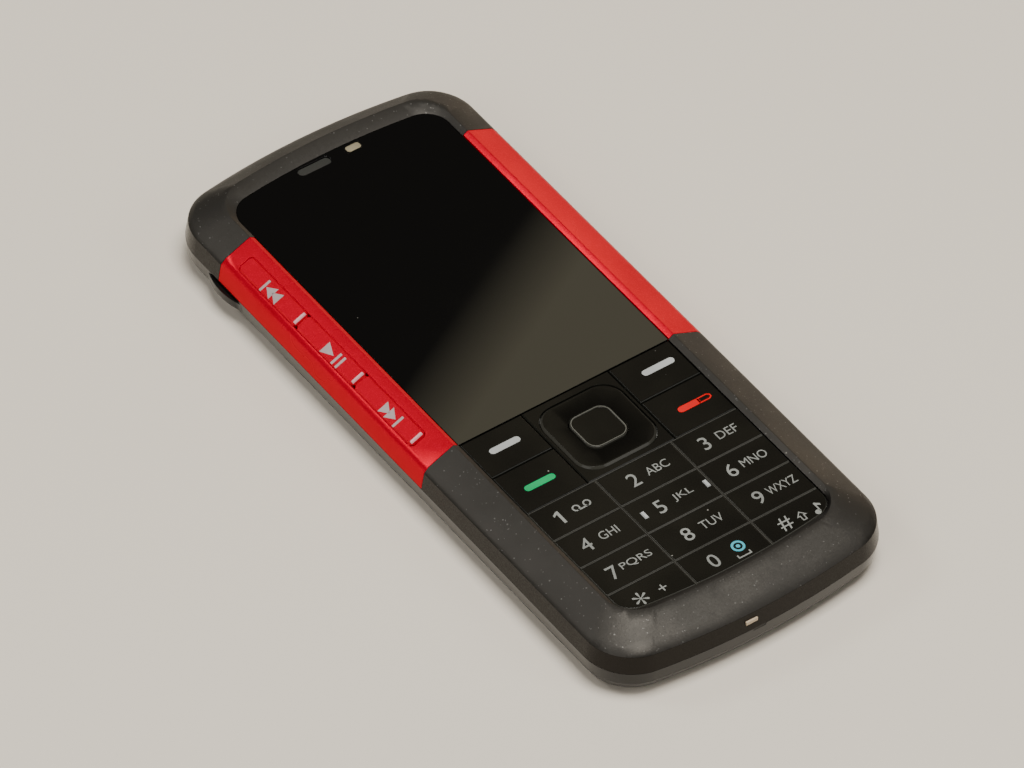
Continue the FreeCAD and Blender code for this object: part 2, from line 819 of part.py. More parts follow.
def rear_housing():
    solid = back_shell().common(box(everywhere_x, (cover_split, half_length + 1), (-1, frame_low)))
    tongue_room = box((-cover_tongue_half - panel_gap, cover_tongue_half + panel_gap),
                      (cover_split - 1, cover_split + cover_tongue + panel_gap),
                      (cover_wall / 2 - panel_gap / 2, cover_wall + 1))
    solid = solid.cut(tongue_room)
    hole = camera_window_radius + camera_bezel_width
    solid = solid.cut(post(0, camera_y, hole + seam, -1, cover_wall + 1))
    first = speaker_x - speaker_slot_pitch * (speaker_slots - 1) / 2
    for index in range(speaker_slots):
        x = first + index * speaker_slot_pitch
        slot = centred_box(x, speaker_y, speaker_slot_width, speaker_slot_length, (-1, cover_wall + 1))
        solid = solid.cut(slot)
    return solid


def battery_cover():
    shell = back_shell().common(box(everywhere_x, (-half_length - 1, cover_split - panel_gap),
                                    (-1, frame_low - seam)))
    tongue = box((-cover_tongue_half, cover_tongue_half), (cover_split - 3, cover_split + cover_tongue),
                 (cover_wall / 2 + panel_gap / 2, cover_wall))
    solid = join(shell, tongue)
    lip_low = rail_z + rail_flange_height + rail_gap
    for side in (-1, 1):
        inner = half_width - cover_shell - lip_width
        xs = sorted((side * inner, side * (half_width - cover_shell + bite)))
        lip = box(xs, (rail_low, rail_high), (lip_low, lip_low + lip_height))
        solid = join(solid, lip)
    return solid


def camera_bezel():
    outer = camera_window_radius + camera_bezel_width
    ring = post(0, camera_y, outer, camera_bezel_recess, cover_wall + camera_bezel_grip)
    ring = ring.cut(post(0, camera_y, camera_window_radius + seam, camera_recess, cover_wall + 1))
    dish = Part.makeCone(camera_window_radius + camera_dish, camera_window_radius - camera_cover_lip,
                         camera_recess + bite, Vector(0, camera_y, 0), Vector(0, 0, 1))
    return ring.cut(dish).removeSplitter()


def camera_window():
    return post(0, camera_y, camera_window_radius, camera_recess, camera_recess + camera_glass)


def camera_module():
    half = camera_size / 2
    barrel_low = cover_wall + camera_gap
    block_low = barrel_low + camera_barrel_height
    block = box((-half, half), (camera_y - half, camera_y + half), (block_low, board_low))
    barrel = faceted_post(0, camera_y, camera_barrel_radius, barrel_low, block_low + bite)
    iris = post(0, camera_y, camera_iris_radius, barrel_low - bite, barrel_low - bite + camera_iris_depth)
    return join(block, barrel).cut(iris)


# Key caps
def cap(x, y, foot_x, foot_y):
    """Key cap between the given limits, trimmed to the keypad's rounded outline, with its foot."""
    outline = prism(opening_wire(panel_gap, cap_low), cap_thickness)
    block = box((x[0] + key_gap / 2, x[1] - key_gap / 2), (y[0] + key_gap / 2, y[1] - key_gap / 2),
                (cap_low, glass_top))
    solid = softened_top(outline.common(block), cap_edge, glass_top)
    foot = centred_box(foot_x, foot_y, 2 * foot_half, 2 * foot_half, (foot_low, cap_low + bite))
    return join(solid, foot)


column_edges = (-opening_half - 1, -column_line, column_line, opening_half + 1)
column_middles = (-(column_line + opening_half) / 2, 0.0, (column_line + opening_half) / 2)
number_names = (("key_1", "key_2", "key_3"), ("key_4", "key_5", "key_6"), ("key_7", "key_8", "key_9"),
                ("key_star", "key_0", "key_hash"))


def number_keys():
    keys = {}
    for row, names in enumerate(number_names):
        high = row_top - row * row_pitch
        low = high - row_pitch
        middle = (low + high) / 2
        if row == len(number_names) - 1:
            low = opening_low - 1
            middle = (opening_low + high) / 2
        for column, name in enumerate(names):
            xs = (column_edges[column], column_edges[column + 1])
            keys[name] = cap(xs, (low, high), column_middles[column], middle)
            if name == "key_5":
                for x in (nib_left, nib_right):
                    nib = centred_box(x, middle, nib_width, nib_length,
                                      (glass_top - bite, glass_top + nib_height))
                    keys[name] = join(keys[name], softened_top(nib, nib_edge, glass_top + nib_height))
    return keys


def side_cluster():
    keys = {}
    middle = (nav_bezel_half + opening_half) / 2
    for side, soft, call in ((-1, "soft_key_left", "call_key"), (1, "soft_key_right", "end_key")):
        xs = sorted((side * nav_bezel_half, side * (opening_half + 1)))
        keys[soft] = cap(xs, (call_split, window_end), side * middle, (call_split + window_end) / 2)
        keys[call] = cap(xs, (row_top, call_split), side * middle, (call_split + row_top) / 2)
    return keys


def nav_square(half, corner, low, high):
    return centred_box(0, nav_centre, 2 * half, 2 * half, (low, high), corner)


def nav_bezel():
    outline = box((-nav_bezel_half + key_gap / 2, nav_bezel_half - key_gap / 2),
                  (row_top + key_gap / 2, window_end - key_gap / 2), (cap_low, glass_top))
    outline = softened_top(outline, cap_edge, glass_top)
    ring_room = nav_square(nav_ring_half + key_gap, nav_ring_corner + key_gap, cap_low - 1, glass_top + 1)
    solid = outline.cut(ring_room)
    # Two posts carry the bezel on the keypad sheet
    post_width, post_length = nav_bezel_post
    inset = nav_bezel_post_inset + post_length / 2
    for y in (window_end - inset, row_top + inset):
        solid = join(solid, centred_box(0, y, post_width, post_length, (keymat_high, cap_low + bite)))
    return solid


def nav_ring():
    top = glass_top + nav_ring_proud
    ring = nav_square(nav_ring_half, nav_ring_corner, cap_low + panel_gap, top)
    ring = softened_top(ring, nav_edge, top)
    hole = nav_square(select_half + key_gap, select_corner + key_gap, cap_low - 1, top + 1)
    # Dish with eight flat sides, level with the hole's rounded corners at its low edge
    reach = select_half + key_gap
    cut = reach - (2 - math.sqrt(2)) * (select_corner + key_gap)
    widening = nav_ring_half - nav_edge - nav_dish_rim - reach
    dish = frustum(octagon(0, nav_centre, reach, cut, top - nav_dish),
                   octagon(0, nav_centre, reach + widening, cut + widening * math.tan(math.pi / 8), top))
    ring = ring.cut(hole).cut(dish)
    for dx, dy in ((1, 0), (-1, 0), (0, 1), (0, -1)):
        nub = centred_box(dx * nav_nub_reach, nav_centre + dy * nav_nub_reach, 2 * nav_nub_half,
                          2 * nav_nub_half, (foot_low, cap_low + panel_gap + bite))
        ring = join(ring, nub)
    return ring


def nav_pad():
    top = cap_low + panel_gap - nav_pad_drop
    pad = nav_square(nav_pad_half, 0, top - nav_pad_thickness, top)
    return pad.cut(nav_square(nav_pad_hole, 0, top - beyond, top + beyond))


def select_key():
    top = glass_top + nav_ring_proud
    block = nav_square(select_half, select_corner, cap_low + panel_gap, top)
    block = softened_top(block, select_edge, top)
    dish = nav_square(select_half - select_rim, select_corner - select_rim, top - select_dish, top + beyond)
    foot = centred_box(0, nav_centre, 2 * select_foot_half, 2 * select_foot_half,
                       (foot_low, cap_low + panel_gap + bite))
    return join(block.cut(dish), foot)


def foot_places():
    places = []
    for row in range(len(number_names)):
        high = row_top - row * row_pitch
        low = high - row_pitch if row < len(number_names) - 1 else opening_low
        for x in column_middles:
            places.append((x, (low + high) / 2))
    middle = (nav_bezel_half + opening_half) / 2
    for side in (-1, 1):
        places.append((side * middle, (call_split + window_end) / 2))
        places.append((side * middle, (call_split + row_top) / 2))
    return places


def keymat():
    half = opening_half + keymat_margin
    low = opening_low - keymat_margin
    high = window_end - 2 * panel_gap
    sheet = box((-half, half), (low, high), (board_high, keymat_high),
                opening_corner_bottom - panel_gap)
    under = box((-half + keymat_skirt, half - keymat_skirt), (low + keymat_skirt, high - keymat_skirt),
                (board_high - 1, keymat_low))
    sheet = sheet.cut(under)
    for x, y in foot_places():
        hole = 2 * (foot_half + foot_room)
        sheet = sheet.cut(centred_box(x, y, hole, hole, (keymat_low - 1, keymat_high + 1)))
    room = nav_nub_reach + nav_nub_half + foot_room
    return sheet.cut(nav_square(room, 0, keymat_low - 1, keymat_high + 1))


def snap_dome(x, y, half, z):
    """Four-legged metal dome: a square plate with cut corners, raised in the middle."""
    bend = dome_height * dome_bend
    middle = octagon(x, y, half - bend, half * dome_leg - bend * math.tan(math.pi / 8), z + dome_height)
    return frustum(octagon(x, y, half, half * dome_leg, z), middle)


def dome_sheet():
    half = opening_half + keymat_margin - keymat_skirt - panel_gap
    low = opening_low - keymat_margin + keymat_skirt + panel_gap
    high = window_end - 3 * panel_gap - keymat_skirt
    top = board_high + dome_sheet_thickness
    sheet = box((-half, half), (low, high), (board_high, top))
    for x, y in foot_places():
        sheet = sheet.fuse(snap_dome(x, y, dome_half, top))
    for dx, dy in ((0, 0), (1, 0), (-1, 0), (0, 1), (0, -1)):
        dome = snap_dome(dx * nav_nub_reach, nav_centre + dy * nav_nub_reach, nav_dome_half, top)
        sheet = sheet.fuse(dome)
    return sheet.removeSplitter()


# Electronics
def main_board():
    board = body_prism(board_inset, board_low, board_high)
    notch = box((audio_x - audio_body_width / 2 - panel_gap, audio_x + audio_body_width / 2 + panel_gap),
                (half_length - wall - audio_depth - audio_notch, half_length), (0, body_height))
    board = board.cut(notch)
    reach = screw_radius + 3 * panel_gap
    for x, y in screw_places:
        outer = math.copysign(half_width, x)
        xs = sorted((x - math.copysign(reach, x), outer))
        board = board.cut(box(xs, (y - reach, y + reach), (board_low - bite, board_high + bite)))
    return board


def display_module():
    low_y = display_low
    high_y = display_low + display_length
    half = display_width / 2
    frame = box((-half, half), (low_y, high_y), (board_high, ledge_top - panel_gap))
    flex = box((-half + display_flex_inset, half - display_flex_inset), (high_y, high_y + 2 * bite),
               (board_high, board_high + display_flex_height))
    screen_top = ledge_top - panel_gap
    screen_recess = box((-half + display_rim, half - display_rim),
                        (low_y + display_driver_strip, high_y - display_rim),
                        (screen_top - display_recess, screen_top + beyond))
    return join(frame, flex).cut(screen_recess)


def earpiece():
    return centred_box(earpiece_x, earpiece_y, earpiece_width, earpiece_length,
                       (board_high, board_high + earpiece_height))


def shield_cans():
    low = speaker_y - can_length / 2
    cans = []
    for x in (-(can_width + can_gap) / 2, (can_width + can_gap) / 2):
        can = centred_box(x, low + can_length / 2, can_width, can_length,
                          (board_low - can_height, board_low))
        cans.append(can)
    return Part.makeCompound(cans)


def loudspeaker():
    low = cover_wall + speaker_mesh
    frame = centred_box(speaker_x, speaker_y, speaker_width, speaker_length, (low, low + speaker_height))
    cone = centred_box(speaker_x, speaker_y, speaker_width - 2 * speaker_frame,
                       speaker_length - 2 * speaker_frame, (low - bite, low + speaker_cone_depth))
    return frame.cut(cone)


def loudspeaker_mesh():
    reach = speaker_slot_pitch * (speaker_slots - 1) + speaker_slot_width + 2 * speaker_mesh_margin
    return centred_box(speaker_x, speaker_y, reach, speaker_slot_length + 2 * speaker_mesh_margin,
                       (cover_wall, cover_wall + speaker_mesh))


def vibra_motor():
    housing = faceted_rod(Vector(motor_low, motor_y, motor_axis_height), motor_radius, motor_length)
    shaft = rod(Vector(motor_low - motor_shaft_length, motor_y, motor_axis_height), motor_shaft_radius,
                motor_shaft_length + bite, Vector(1, 0, 0))
    cradle = box((motor_low + motor_cradle_inset, motor_low + motor_length - motor_cradle_inset),
                 (motor_y - motor_cradle_half, motor_y + motor_cradle_half),
                 (motor_axis_height, web_low))
    return join(housing, shaft, cradle)


def vibra_weight():
    start = motor_low - weight_gap - weight_length
    disc = rod(Vector(start, motor_y, motor_axis_height), weight_radius, weight_length, Vector(1, 0, 0))
    upper = box((start - 1, start + weight_length + 1), (motor_y - 5, motor_y + 5),
                (motor_axis_height + weight_cut, motor_axis_height + beyond))
    bore = rod(Vector(start - 1, motor_y, motor_axis_height), motor_shaft_radius + seam, weight_length + 2,
               Vector(1, 0, 0))
    return disc.cut(upper).cut(bore)


def microphone():
    low_y = -half_length + wall + panel_gap
    return box((microphone_x - microphone_size / 2, microphone_x + microphone_size / 2),
               (low_y, low_y + microphone_depth), (web_low - microphone_height, web_low))


def antenna():
    low = cover_wall
    high = low + antenna_height
    block = centred_box(antenna_x, speaker_y, antenna_width, antenna_length, (low, high))
    inner = centred_box(antenna_x, speaker_y, antenna_width - 2 * antenna_shell,
                        antenna_length - 2 * antenna_shell, (low + antenna_shell, high + bite))
    return block.cut(inner)


def battery():
    low = cover_wall + battery_lift
    block = box((-battery_width / 2, battery_width / 2), (battery_low, battery_high),
                (low, low + battery_thickness))
    for index in (-1, 0, 1):
        pad = centred_box(index * battery_pad_pitch, battery_high, battery_pad_width, 2 * battery_pad_depth,
                          (low + battery_pad_margin, low + battery_thickness - battery_pad_margin))
        block = block.cut(pad)
    return block


def battery_connector():
    low_y = battery_high + battery_clear
    block = box((-contact_width / 2, contact_width / 2), (low_y, low_y + contact_length),
                (web_low - contact_height, web_low))
    for index in (-1, 0, 1):
        middle = index * battery_pad_pitch
        spring = box((middle - contact_spring_half, middle + contact_spring_half),
                     (low_y - battery_clear, low_y + bite),
                     (web_low - contact_spring_low, web_low - contact_spring_high))
        block = block.fuse(spring)
    return block.removeSplitter()


def card_holder(x, y, width, length, thickness):
    """Folded metal holder open towards the battery, hanging under the web."""
    top = web_low
    outer = centred_box(x, y, width + 2 * (holder_wall + seam), length,
                        (top - thickness - 2 * holder_wall, top))
    room = centred_box(x, y - holder_wall, width + 2 * seam, length,
                       (top - thickness - holder_wall - seam, top - holder_wall + seam))
    window = box((x - width / 2 + holder_band, x + width / 2 - holder_band),
                 (y - length / 2 + holder_band / 2, y + length / 2 - holder_band),
                 (0, top - thickness - holder_wall / 2))
    return outer.cut(room).cut(window)


def card(x, y, width, length, thickness):
    top = web_low - holder_wall
    low_y = y - length / 2
    block = box((x - width / 2, x + width / 2), (low_y, low_y + length - holder_wall - seam),
                (top - thickness, top))
    return block


def end_height(x):
    """Y of the bowed top end at a distance x from the middle."""
    return half_length - end_radius + math.sqrt(end_radius ** 2 - x ** 2)


def inner_end(x, width):
    """Y where a piece of the given width stops short of the inside of the top wall."""
    return end_height(abs(x) + width / 2) - wall - 2 * panel_gap


def audio_jack():
    end = inner_end(audio_x, audio_body_width)
    deep = audio_mouth - audio_depth - audio_back
    low = audio_axis_height - audio_body_width * audio_body_share
    high = frame_high - panel_gap
    body = centred_box(audio_x, (deep + end) / 2, audio_body_width, end - deep, (low, high))
    nose = rod(Vector(audio_x, end - bite, audio_axis_height), audio_nose_radius, audio_mouth - end + bite,
               Vector(0, 1, 0))
    bore = rod(Vector(audio_x, audio_mouth - audio_depth, audio_axis_height), audio_bore_radius,
               audio_depth + bite, Vector(0, 1, 0))
    return join(body, nose).cut(bore)


audio_mouth = end_height(audio_x + audio_nose_radius) - panel_gap


def charger_jack():
    end = inner_end(charger_x, charger_body_width)
    mouth = end_height(abs(charger_x) + charger_nose_radius) - panel_gap
    half = charger_body_width / 2
    body = box((charger_x - half, charger_x + half), (end - charger_body_length, end),
               (charger_axis_height - charger_nose_radius - bite, board_low))
    nose = rod(Vector(charger_x, end - bite, charger_axis_height), charger_nose_radius, mouth - end + bite,
               Vector(0, 1, 0))
    bore = rod(Vector(charger_x, mouth - charger_depth, charger_axis_height), charger_bore_radius,
               charger_depth + bite, Vector(0, 1, 0))
    pin = box((charger_x - charger_pin_radius, charger_x + charger_pin_radius),
              (mouth - charger_depth - bite, mouth - charger_pin_recess),
              (charger_axis_height - charger_pin_radius, charger_axis_height + charger_pin_radius))
    return join(join(body, nose).cut(bore), pin)


def usb_port():
    mouth = end_height(abs(usb_x) + usb_width / 2) - panel_gap * 2
    high = board_low
    low = high - usb_height - 2 * usb_shell
    outer = box((usb_x - usb_width / 2 - usb_shell, usb_x + usb_width / 2 + usb_shell),
                (mouth - usb_length, mouth), (low, high))
    room = box((usb_x - usb_width / 2, usb_x + usb_width / 2), (mouth - usb_length + usb_back, mouth + bite),
               (low + usb_shell, high - usb_shell))
    tongue_top = high - usb_shell - usb_tongue_gap
    tongue = box((usb_x - usb_tongue_half, usb_x + usb_tongue_half),
                 (mouth - usb_length + usb_back / 2, mouth - usb_tongue_recess),
                 (tongue_top - usb_tongue, tongue_top))
    return join(outer.cut(room), tongue)


def power_key():
    face = half_length + power_proud
    low = power_axis_height - power_height / 2
    high = power_axis_height + power_height / 2
    inner = inner_end(power_x, power_width + 2 * power_lip)
    depth = face - inner + power_flange
    key = centred_box(power_x, face - depth / 2, power_width, depth, (low, high))
    flange = centred_box(power_x, inner - power_flange / 2, power_width + 2 * power_lip, power_flange,
                         (low - power_lip, high))
    return join(key, flange)


def volume_rocker():
    """Rocker with tapered ends and a shallow waist over its pivot."""
    inner = half_width - volume_depth
    outer = half_width + volume_proud
    end = volume_length / 2
    half_plan = [(outer - volume_waist, 0), (outer, volume_taper), (outer, end - volume_taper),
                 (outer - volume_end_drop, end), (inner, end)]
    corners = [(x, -y) for x, y in reversed(half_plan[1:])] + half_plan
    low = volume_axis_height - volume_height / 2
    plan = [Vector(x, volume_y + y, low) for x, y in corners]
    return prism(Part.makePolygon(plan + plan[:1]), volume_height)


def side_switches():
    """Switch boards of the music keys, the volume rocker and the power key."""
    music_low = board_low + switch_ledge
    xs = (-half_width + wall + panel_gap, -half_width + board_inset - panel_gap * 2)
    music_top = music_low + switch_board
    music = box(xs, (music_key_low - switch_margin, music_key_high), (music_low, music_top))
    for index in range(music_keys):
        y = music_key_low + (index + 0.5) * music_key_length
        music = music.fuse(centred_box(sum(xs) / 2, y, switch_width, switch_length,
                                       (music_top, music_top + switch_height)))
    volume = box((rail_stem_outer, rail_stem_outer + switch_board),
                 (volume_y - volume_length / 2 + 2 * switch_margin,
                  volume_y + volume_length / 2 - 2 * switch_margin),
                 (volume_axis_height - switch_width, volume_axis_height + switch_width))
    back = inner_end(power_x, power_width + 2 * power_lip) - power_flange - power_travel - panel_gap
    power = box((power_x - switch_length, power_x + switch_length), (back - power_switch_depth, back),
                (power_axis_height - switch_width, board_low))
    return Part.makeCompound([music.removeSplitter(), volume, power])


def screws():
    solids = []
    for x, y in screw_places:
        shank = faceted_post(x, y, screw_radius, web_low - bite, screw_top)
        head = faceted_post(x, y, screw_head_radius, web_low - screw_head_height, web_low)
        socket = centred_box(x, y, 2 * screw_socket_half, 2 * screw_socket_half,
                             (0, web_low - screw_head_height + screw_socket_depth))
        solids.append(join(head, shank).cut(socket))
    return Part.makeCompound(solids)


pieces = {
    "front_cover": front_cover(),
    "display_window": display_window(),
    "earpiece_grille": earpiece_grille(),
    "light_sensor": light_sensor(),
    "left_trim": trim(-1),
    "right_trim": trim(1),
    "mid_frame": mid_frame(),
    "rear_housing": rear_housing(),
    "battery_cover": battery_cover(),
    "camera_bezel": camera_bezel(),
    "camera_window": camera_window(),
    "camera_module": camera_module(),
    "nav_bezel": nav_bezel(),
    "nav_ring": nav_ring(),
    "nav_pad": nav_pad(),
    "select_key": select_key(),
    "keymat": keymat(),
    "dome_sheet": dome_sheet(),
    "main_board": main_board(),
    "display_module": display_module(),
    "earpiece": earpiece(),
    "shield_cans": shield_cans(),
    "loudspeaker": loudspeaker(),
    "loudspeaker_mesh": loudspeaker_mesh(),
    "vibra_motor": vibra_motor(),
    "vibra_weight": vibra_weight(),
    "microphone": microphone(),
    "antenna": antenna(),
    "battery": battery(),
    "battery_connector": battery_connector(),
    "sim_holder": card_holder(sim_x, sim_y, sim_width, sim_length, sim_thickness),
    "sim_card": card(sim_x, sim_y, sim_width, sim_length, sim_thickness),
    "memory_card_holder": card_holder(card_x, sim_y, card_width, card_length, card_thickness),
    "memory_card": card(card_x, sim_y, card_width, card_length, card_thickness),
    "charger_jack": charger_jack(),
    "audio_jack": audio_jack(),
    "usb_port": usb_port(),
    "power_key": power_key(),
    "volume_rocker": volume_rocker(),
    "side_switches": side_switches(),
    "screws": screws(),
}
for index, name in enumerate(("music_key_next", "music_key_play", "music_key_previous")):
    pieces[name] = music_key(index)
pieces.update(number_keys())
pieces.update(side_cluster())

for name, shape in pieces.items():
    solids = shape.Solids
    shape = solids[0] if len(solids) == 1 else Part.makeCompound(solids)
    if not shape.isValid() or not solids:
        print("not valid:", name)
    shape.exportStep("parts/" + name + ".step")
    bounds = shape.BoundBox
    print("%-20s %d solid(s) %8.1f mm3  x %.2f %.2f  y %.2f %.2f  z %.2f %.2f" % (
        name, len(solids), shape.Volume, bounds.XMin, bounds.XMax, bounds.YMin, bounds.YMax,
        bounds.ZMin, bounds.ZMax))
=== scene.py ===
import json
import math

import bpy
from mathutils import Matrix, Vector


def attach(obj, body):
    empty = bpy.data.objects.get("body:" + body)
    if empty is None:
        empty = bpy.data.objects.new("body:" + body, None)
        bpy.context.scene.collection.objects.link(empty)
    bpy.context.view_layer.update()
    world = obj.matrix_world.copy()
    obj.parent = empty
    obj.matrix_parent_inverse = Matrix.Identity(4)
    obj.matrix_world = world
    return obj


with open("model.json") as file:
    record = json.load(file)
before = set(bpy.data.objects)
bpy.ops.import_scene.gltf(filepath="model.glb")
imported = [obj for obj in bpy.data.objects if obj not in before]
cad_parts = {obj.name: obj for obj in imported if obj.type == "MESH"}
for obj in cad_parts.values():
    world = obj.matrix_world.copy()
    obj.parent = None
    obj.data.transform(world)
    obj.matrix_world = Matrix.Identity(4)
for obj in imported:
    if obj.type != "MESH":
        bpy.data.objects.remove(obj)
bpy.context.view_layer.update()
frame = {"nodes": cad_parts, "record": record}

nodes = frame["nodes"]
mm = 0.001
print("loaded", len(nodes), "nodes")


# Camera, at the photograph's angle

cameraLook = {
    "target": (0.78 * mm, 4.32 * mm, 0.0),
    "azimuth": -37.045,
    "elevation": 45.871,
    "roll": 1.721,
    "distance": 1.284,
    "lens": 342.84,
}


def viewAxes(look):
    turn, lift = math.radians(look["azimuth"]), math.radians(look["elevation"])
    back = Vector((math.sin(turn) * math.cos(lift), -math.cos(turn) * math.cos(lift), math.sin(lift)))
    level = (-back).cross(Vector((0, 0, 1))).normalized()
    upright = level.cross(-back)
    roll = math.radians(look["roll"])
    across = math.cos(roll) * level + math.sin(roll) * upright
    up = math.cos(roll) * upright - math.sin(roll) * level
    return across, up, back


def makeCamera(look):
    across, up, back = viewAxes(look)
    data = bpy.data.cameras.new("camera")
    data.lens = look["lens"]
    data.sensor_width = 36
    data.clip_start, data.clip_end = 0.05, 20
    camera = bpy.data.objects.new("camera", data)
    bpy.context.scene.collection.objects.link(camera)
    turn = Matrix((across, up, back)).transposed().to_4x4()
    camera.matrix_world = Matrix.Translation(Vector(look["target"]) + back * look["distance"]) @ turn
    bpy.context.scene.camera = camera
    return camera


camera = makeCamera(cameraLook)
print("camera done")


# Small helpers for node trees

def addNode(tree, kind, **settings):
    node = tree.nodes.new(kind)
    for name, value in settings.items():
        setattr(node, name, value)
    return node


def link(tree, source, target):
    tree.links.new(source, target)


def startMaterial(name, look):
    material = bpy.data.materials.new(name)
    material.use_nodes = True
    tree = material.node_tree
    shader = tree.nodes["Principled BSDF"]
    shader.inputs["Metallic"].default_value = look.get("metallic", 0.0)
    shader.inputs["IOR"].default_value = look.get("ior", 1.5)
    shader.inputs["Roughness"].default_value = look.get("roughness", 0.4)
    shader.inputs["Specular Tint"].default_value = (*look.get("tint", (1.0, 1.0, 1.0)), 1)
    material.diffuse_color = (*look["colour"], 1)
    place = addNode(tree, "ShaderNodeTexCoord").outputs["Object"]
    return material, tree, shader, place


def ramp(tree, factor, low, high, lowValue=0.0, highValue=1.0):
    node = addNode(tree, "ShaderNodeMapRange")
    node.inputs["From Min"].default_value = low
    node.inputs["From Max"].default_value = high
    node.inputs["To Min"].default_value = lowValue
    node.inputs["To Max"].default_value = highValue
    link(tree, factor, node.inputs["Value"])
    return node.outputs["Result"]


def mixColour(tree, factor, first, second):
    node = addNode(tree, "ShaderNodeMix", data_type="RGBA")
    link(tree, factor, node.inputs["Factor"])
    for socket, colour in ((node.inputs[6], first), (node.inputs[7], second)):
        if hasattr(colour, "is_linked"):
            link(tree, colour, socket)
        else:
            socket.default_value = (*colour, 1)
    return node.outputs[2]


def noise(tree, place, scale, detail=3.0):
    node = addNode(tree, "ShaderNodeTexNoise")
    node.inputs["Scale"].default_value = scale
    node.inputs["Detail"].default_value = detail
    link(tree, place, node.inputs["Vector"])
    return node.outputs["Fac"]


def cells(tree, place, scale):
    node = addNode(tree, "ShaderNodeTexVoronoi")
    node.inputs["Scale"].default_value = scale
    link(tree, place, node.inputs["Vector"])
    return node


def bump(tree, shader, height, strength, distance=0.02 * mm):
    node = addNode(tree, "ShaderNodeBump")
    node.inputs["Strength"].default_value = strength
    node.inputs["Distance"].default_value = distance
    link(tree, height, node.inputs["Height"])
    link(tree, node.outputs["Normal"], shader.inputs["Normal"])


def dust(tree, place, look):
    spots = cells(tree, place, look["dustScale"])
    near = ramp(tree, spots.outputs["Distance"], look["dustSize"], look["dustSize"] * 0.5)
    split = addNode(tree, "ShaderNodeSeparateColor")
    link(tree, spots.outputs["Color"], split.inputs["Color"])
    chosen = ramp(tree, split.outputs["Red"], 1 - look["dustShare"], 1 - look["dustShare"] * 0.7)
    both = addNode(tree, "ShaderNodeMath", operation="MULTIPLY")
    link(tree, near, both.inputs[0])
    link(tree, chosen, both.inputs[1])
    return both.outputs["Value"]


# Finishes

# The part of each noise that its patches span
noiseRanges = {"clouds": (0.35, 0.65), "smear": (0.4, 0.7), "grain": (0.3, 0.7)}


def paintedFlake(name, look):  # metallic paint: every flake is a cell that leans its own way
    material, tree, shader, place = startMaterial(name, look)
    flakes = cells(tree, place, look["flakeScale"])
    split = addNode(tree, "ShaderNodeSeparateColor")
    link(tree, flakes.outputs["Color"], split.inputs["Color"])
    bright = ramp(tree, split.outputs["Red"], look["flakeFrom"], 1.0)
    clouds = ramp(tree, noise(tree, place, 90.0), *noiseRanges["clouds"])
    body = mixColour(tree, clouds, look["colour"], look["deepColour"])
    painted = mixColour(tree, bright, body, look["flakeColour"])
    axes = addNode(tree, "ShaderNodeSeparateXYZ")  # the steep walls are smoother than the facets, and painted darker as painted shade
    surface = addNode(tree, "ShaderNodeNewGeometry")
    link(tree, surface.outputs["Normal"], axes.inputs["Vector"])
    steep = ramp(tree, axes.outputs["Z"], *look["steepRange"])
    painted = mixColour(tree, steep, painted, look["steepShadeColour"])
    specks = dust(tree, place, look)
    link(tree, mixColour(tree, specks, painted, look["dustColour"]), shader.inputs["Base Color"])
    lean = addNode(tree, "ShaderNodeVectorMath", operation="SUBTRACT")
    link(tree, flakes.outputs["Color"], lean.inputs[0])
    lean.inputs[1].default_value = (0.5, 0.5, 0.5)
    small = addNode(tree, "ShaderNodeVectorMath", operation="SCALE")
    link(tree, lean.outputs["Vector"], small.inputs[0])
    small.inputs["Scale"].default_value = look["flakeLean"]
    added = addNode(tree, "ShaderNodeVectorMath", operation="ADD")
    link(tree, surface.outputs["Normal"], added.inputs[0])
    link(tree, small.outputs["Vector"], added.inputs[1])
    unit = addNode(tree, "ShaderNodeVectorMath", operation="NORMALIZE")
    link(tree, added.outputs["Vector"], unit.inputs[0])
    link(tree, unit.outputs["Vector"], shader.inputs["Normal"])
    smoothed = addNode(tree, "ShaderNodeMath", operation="MULTIPLY")
    link(tree, ramp(tree, clouds, 0, 1, look["roughness"] - 0.04, look["roughness"] + 0.05), smoothed.inputs[0])
    link(tree, ramp(tree, steep, 0, 1, 1.0, look["wallShare"]), smoothed.inputs[1])
    link(tree, smoothed.outputs["Value"], shader.inputs["Roughness"])
    return material


def glossPlastic(name, look):  # moulded or lacquered gloss with a little dust and waviness
    material, tree, shader, place = startMaterial(name, look)
    clouds = ramp(tree, noise(tree, place, look.get("cloudScale", 120.0)), *noiseRanges["clouds"])
    body = mixColour(tree, clouds, look["colour"], look.get("deepColour", look["colour"]))
    if "edgeHighlightColour" in look:  # painted highlight: the rims of a clear cap are painted paler than its level top, where light would catch
        axes = addNode(tree, "ShaderNodeSeparateXYZ")
        link(tree, addNode(tree, "ShaderNodeNewGeometry").outputs["Normal"], axes.inputs["Vector"])
        body = mixColour(tree, ramp(tree, axes.outputs["Z"], *look["edgeHighlightRange"]), body, look["edgeHighlightColour"])
    specks = dust(tree, place, look)
    link(tree, mixColour(tree, specks, body, look["dustColour"]), shader.inputs["Base Color"])
    smear = ramp(tree, noise(tree, place, 60.0, 4.0), *noiseRanges["smear"])
    rough = ramp(tree, smear, 0, 1, look["roughness"], look["roughness"] + look.get("smearLift", 0.05))
    dusty = addNode(tree, "ShaderNodeMath", operation="MAXIMUM")
    link(tree, rough, dusty.inputs[0])
    link(tree, specks, dusty.inputs[1])
    link(tree, dusty.outputs["Value"], shader.inputs["Roughness"])
    bump(tree, shader, noise(tree, place, 260.0, 2.0), look.get("wave", 0.05))
    return material


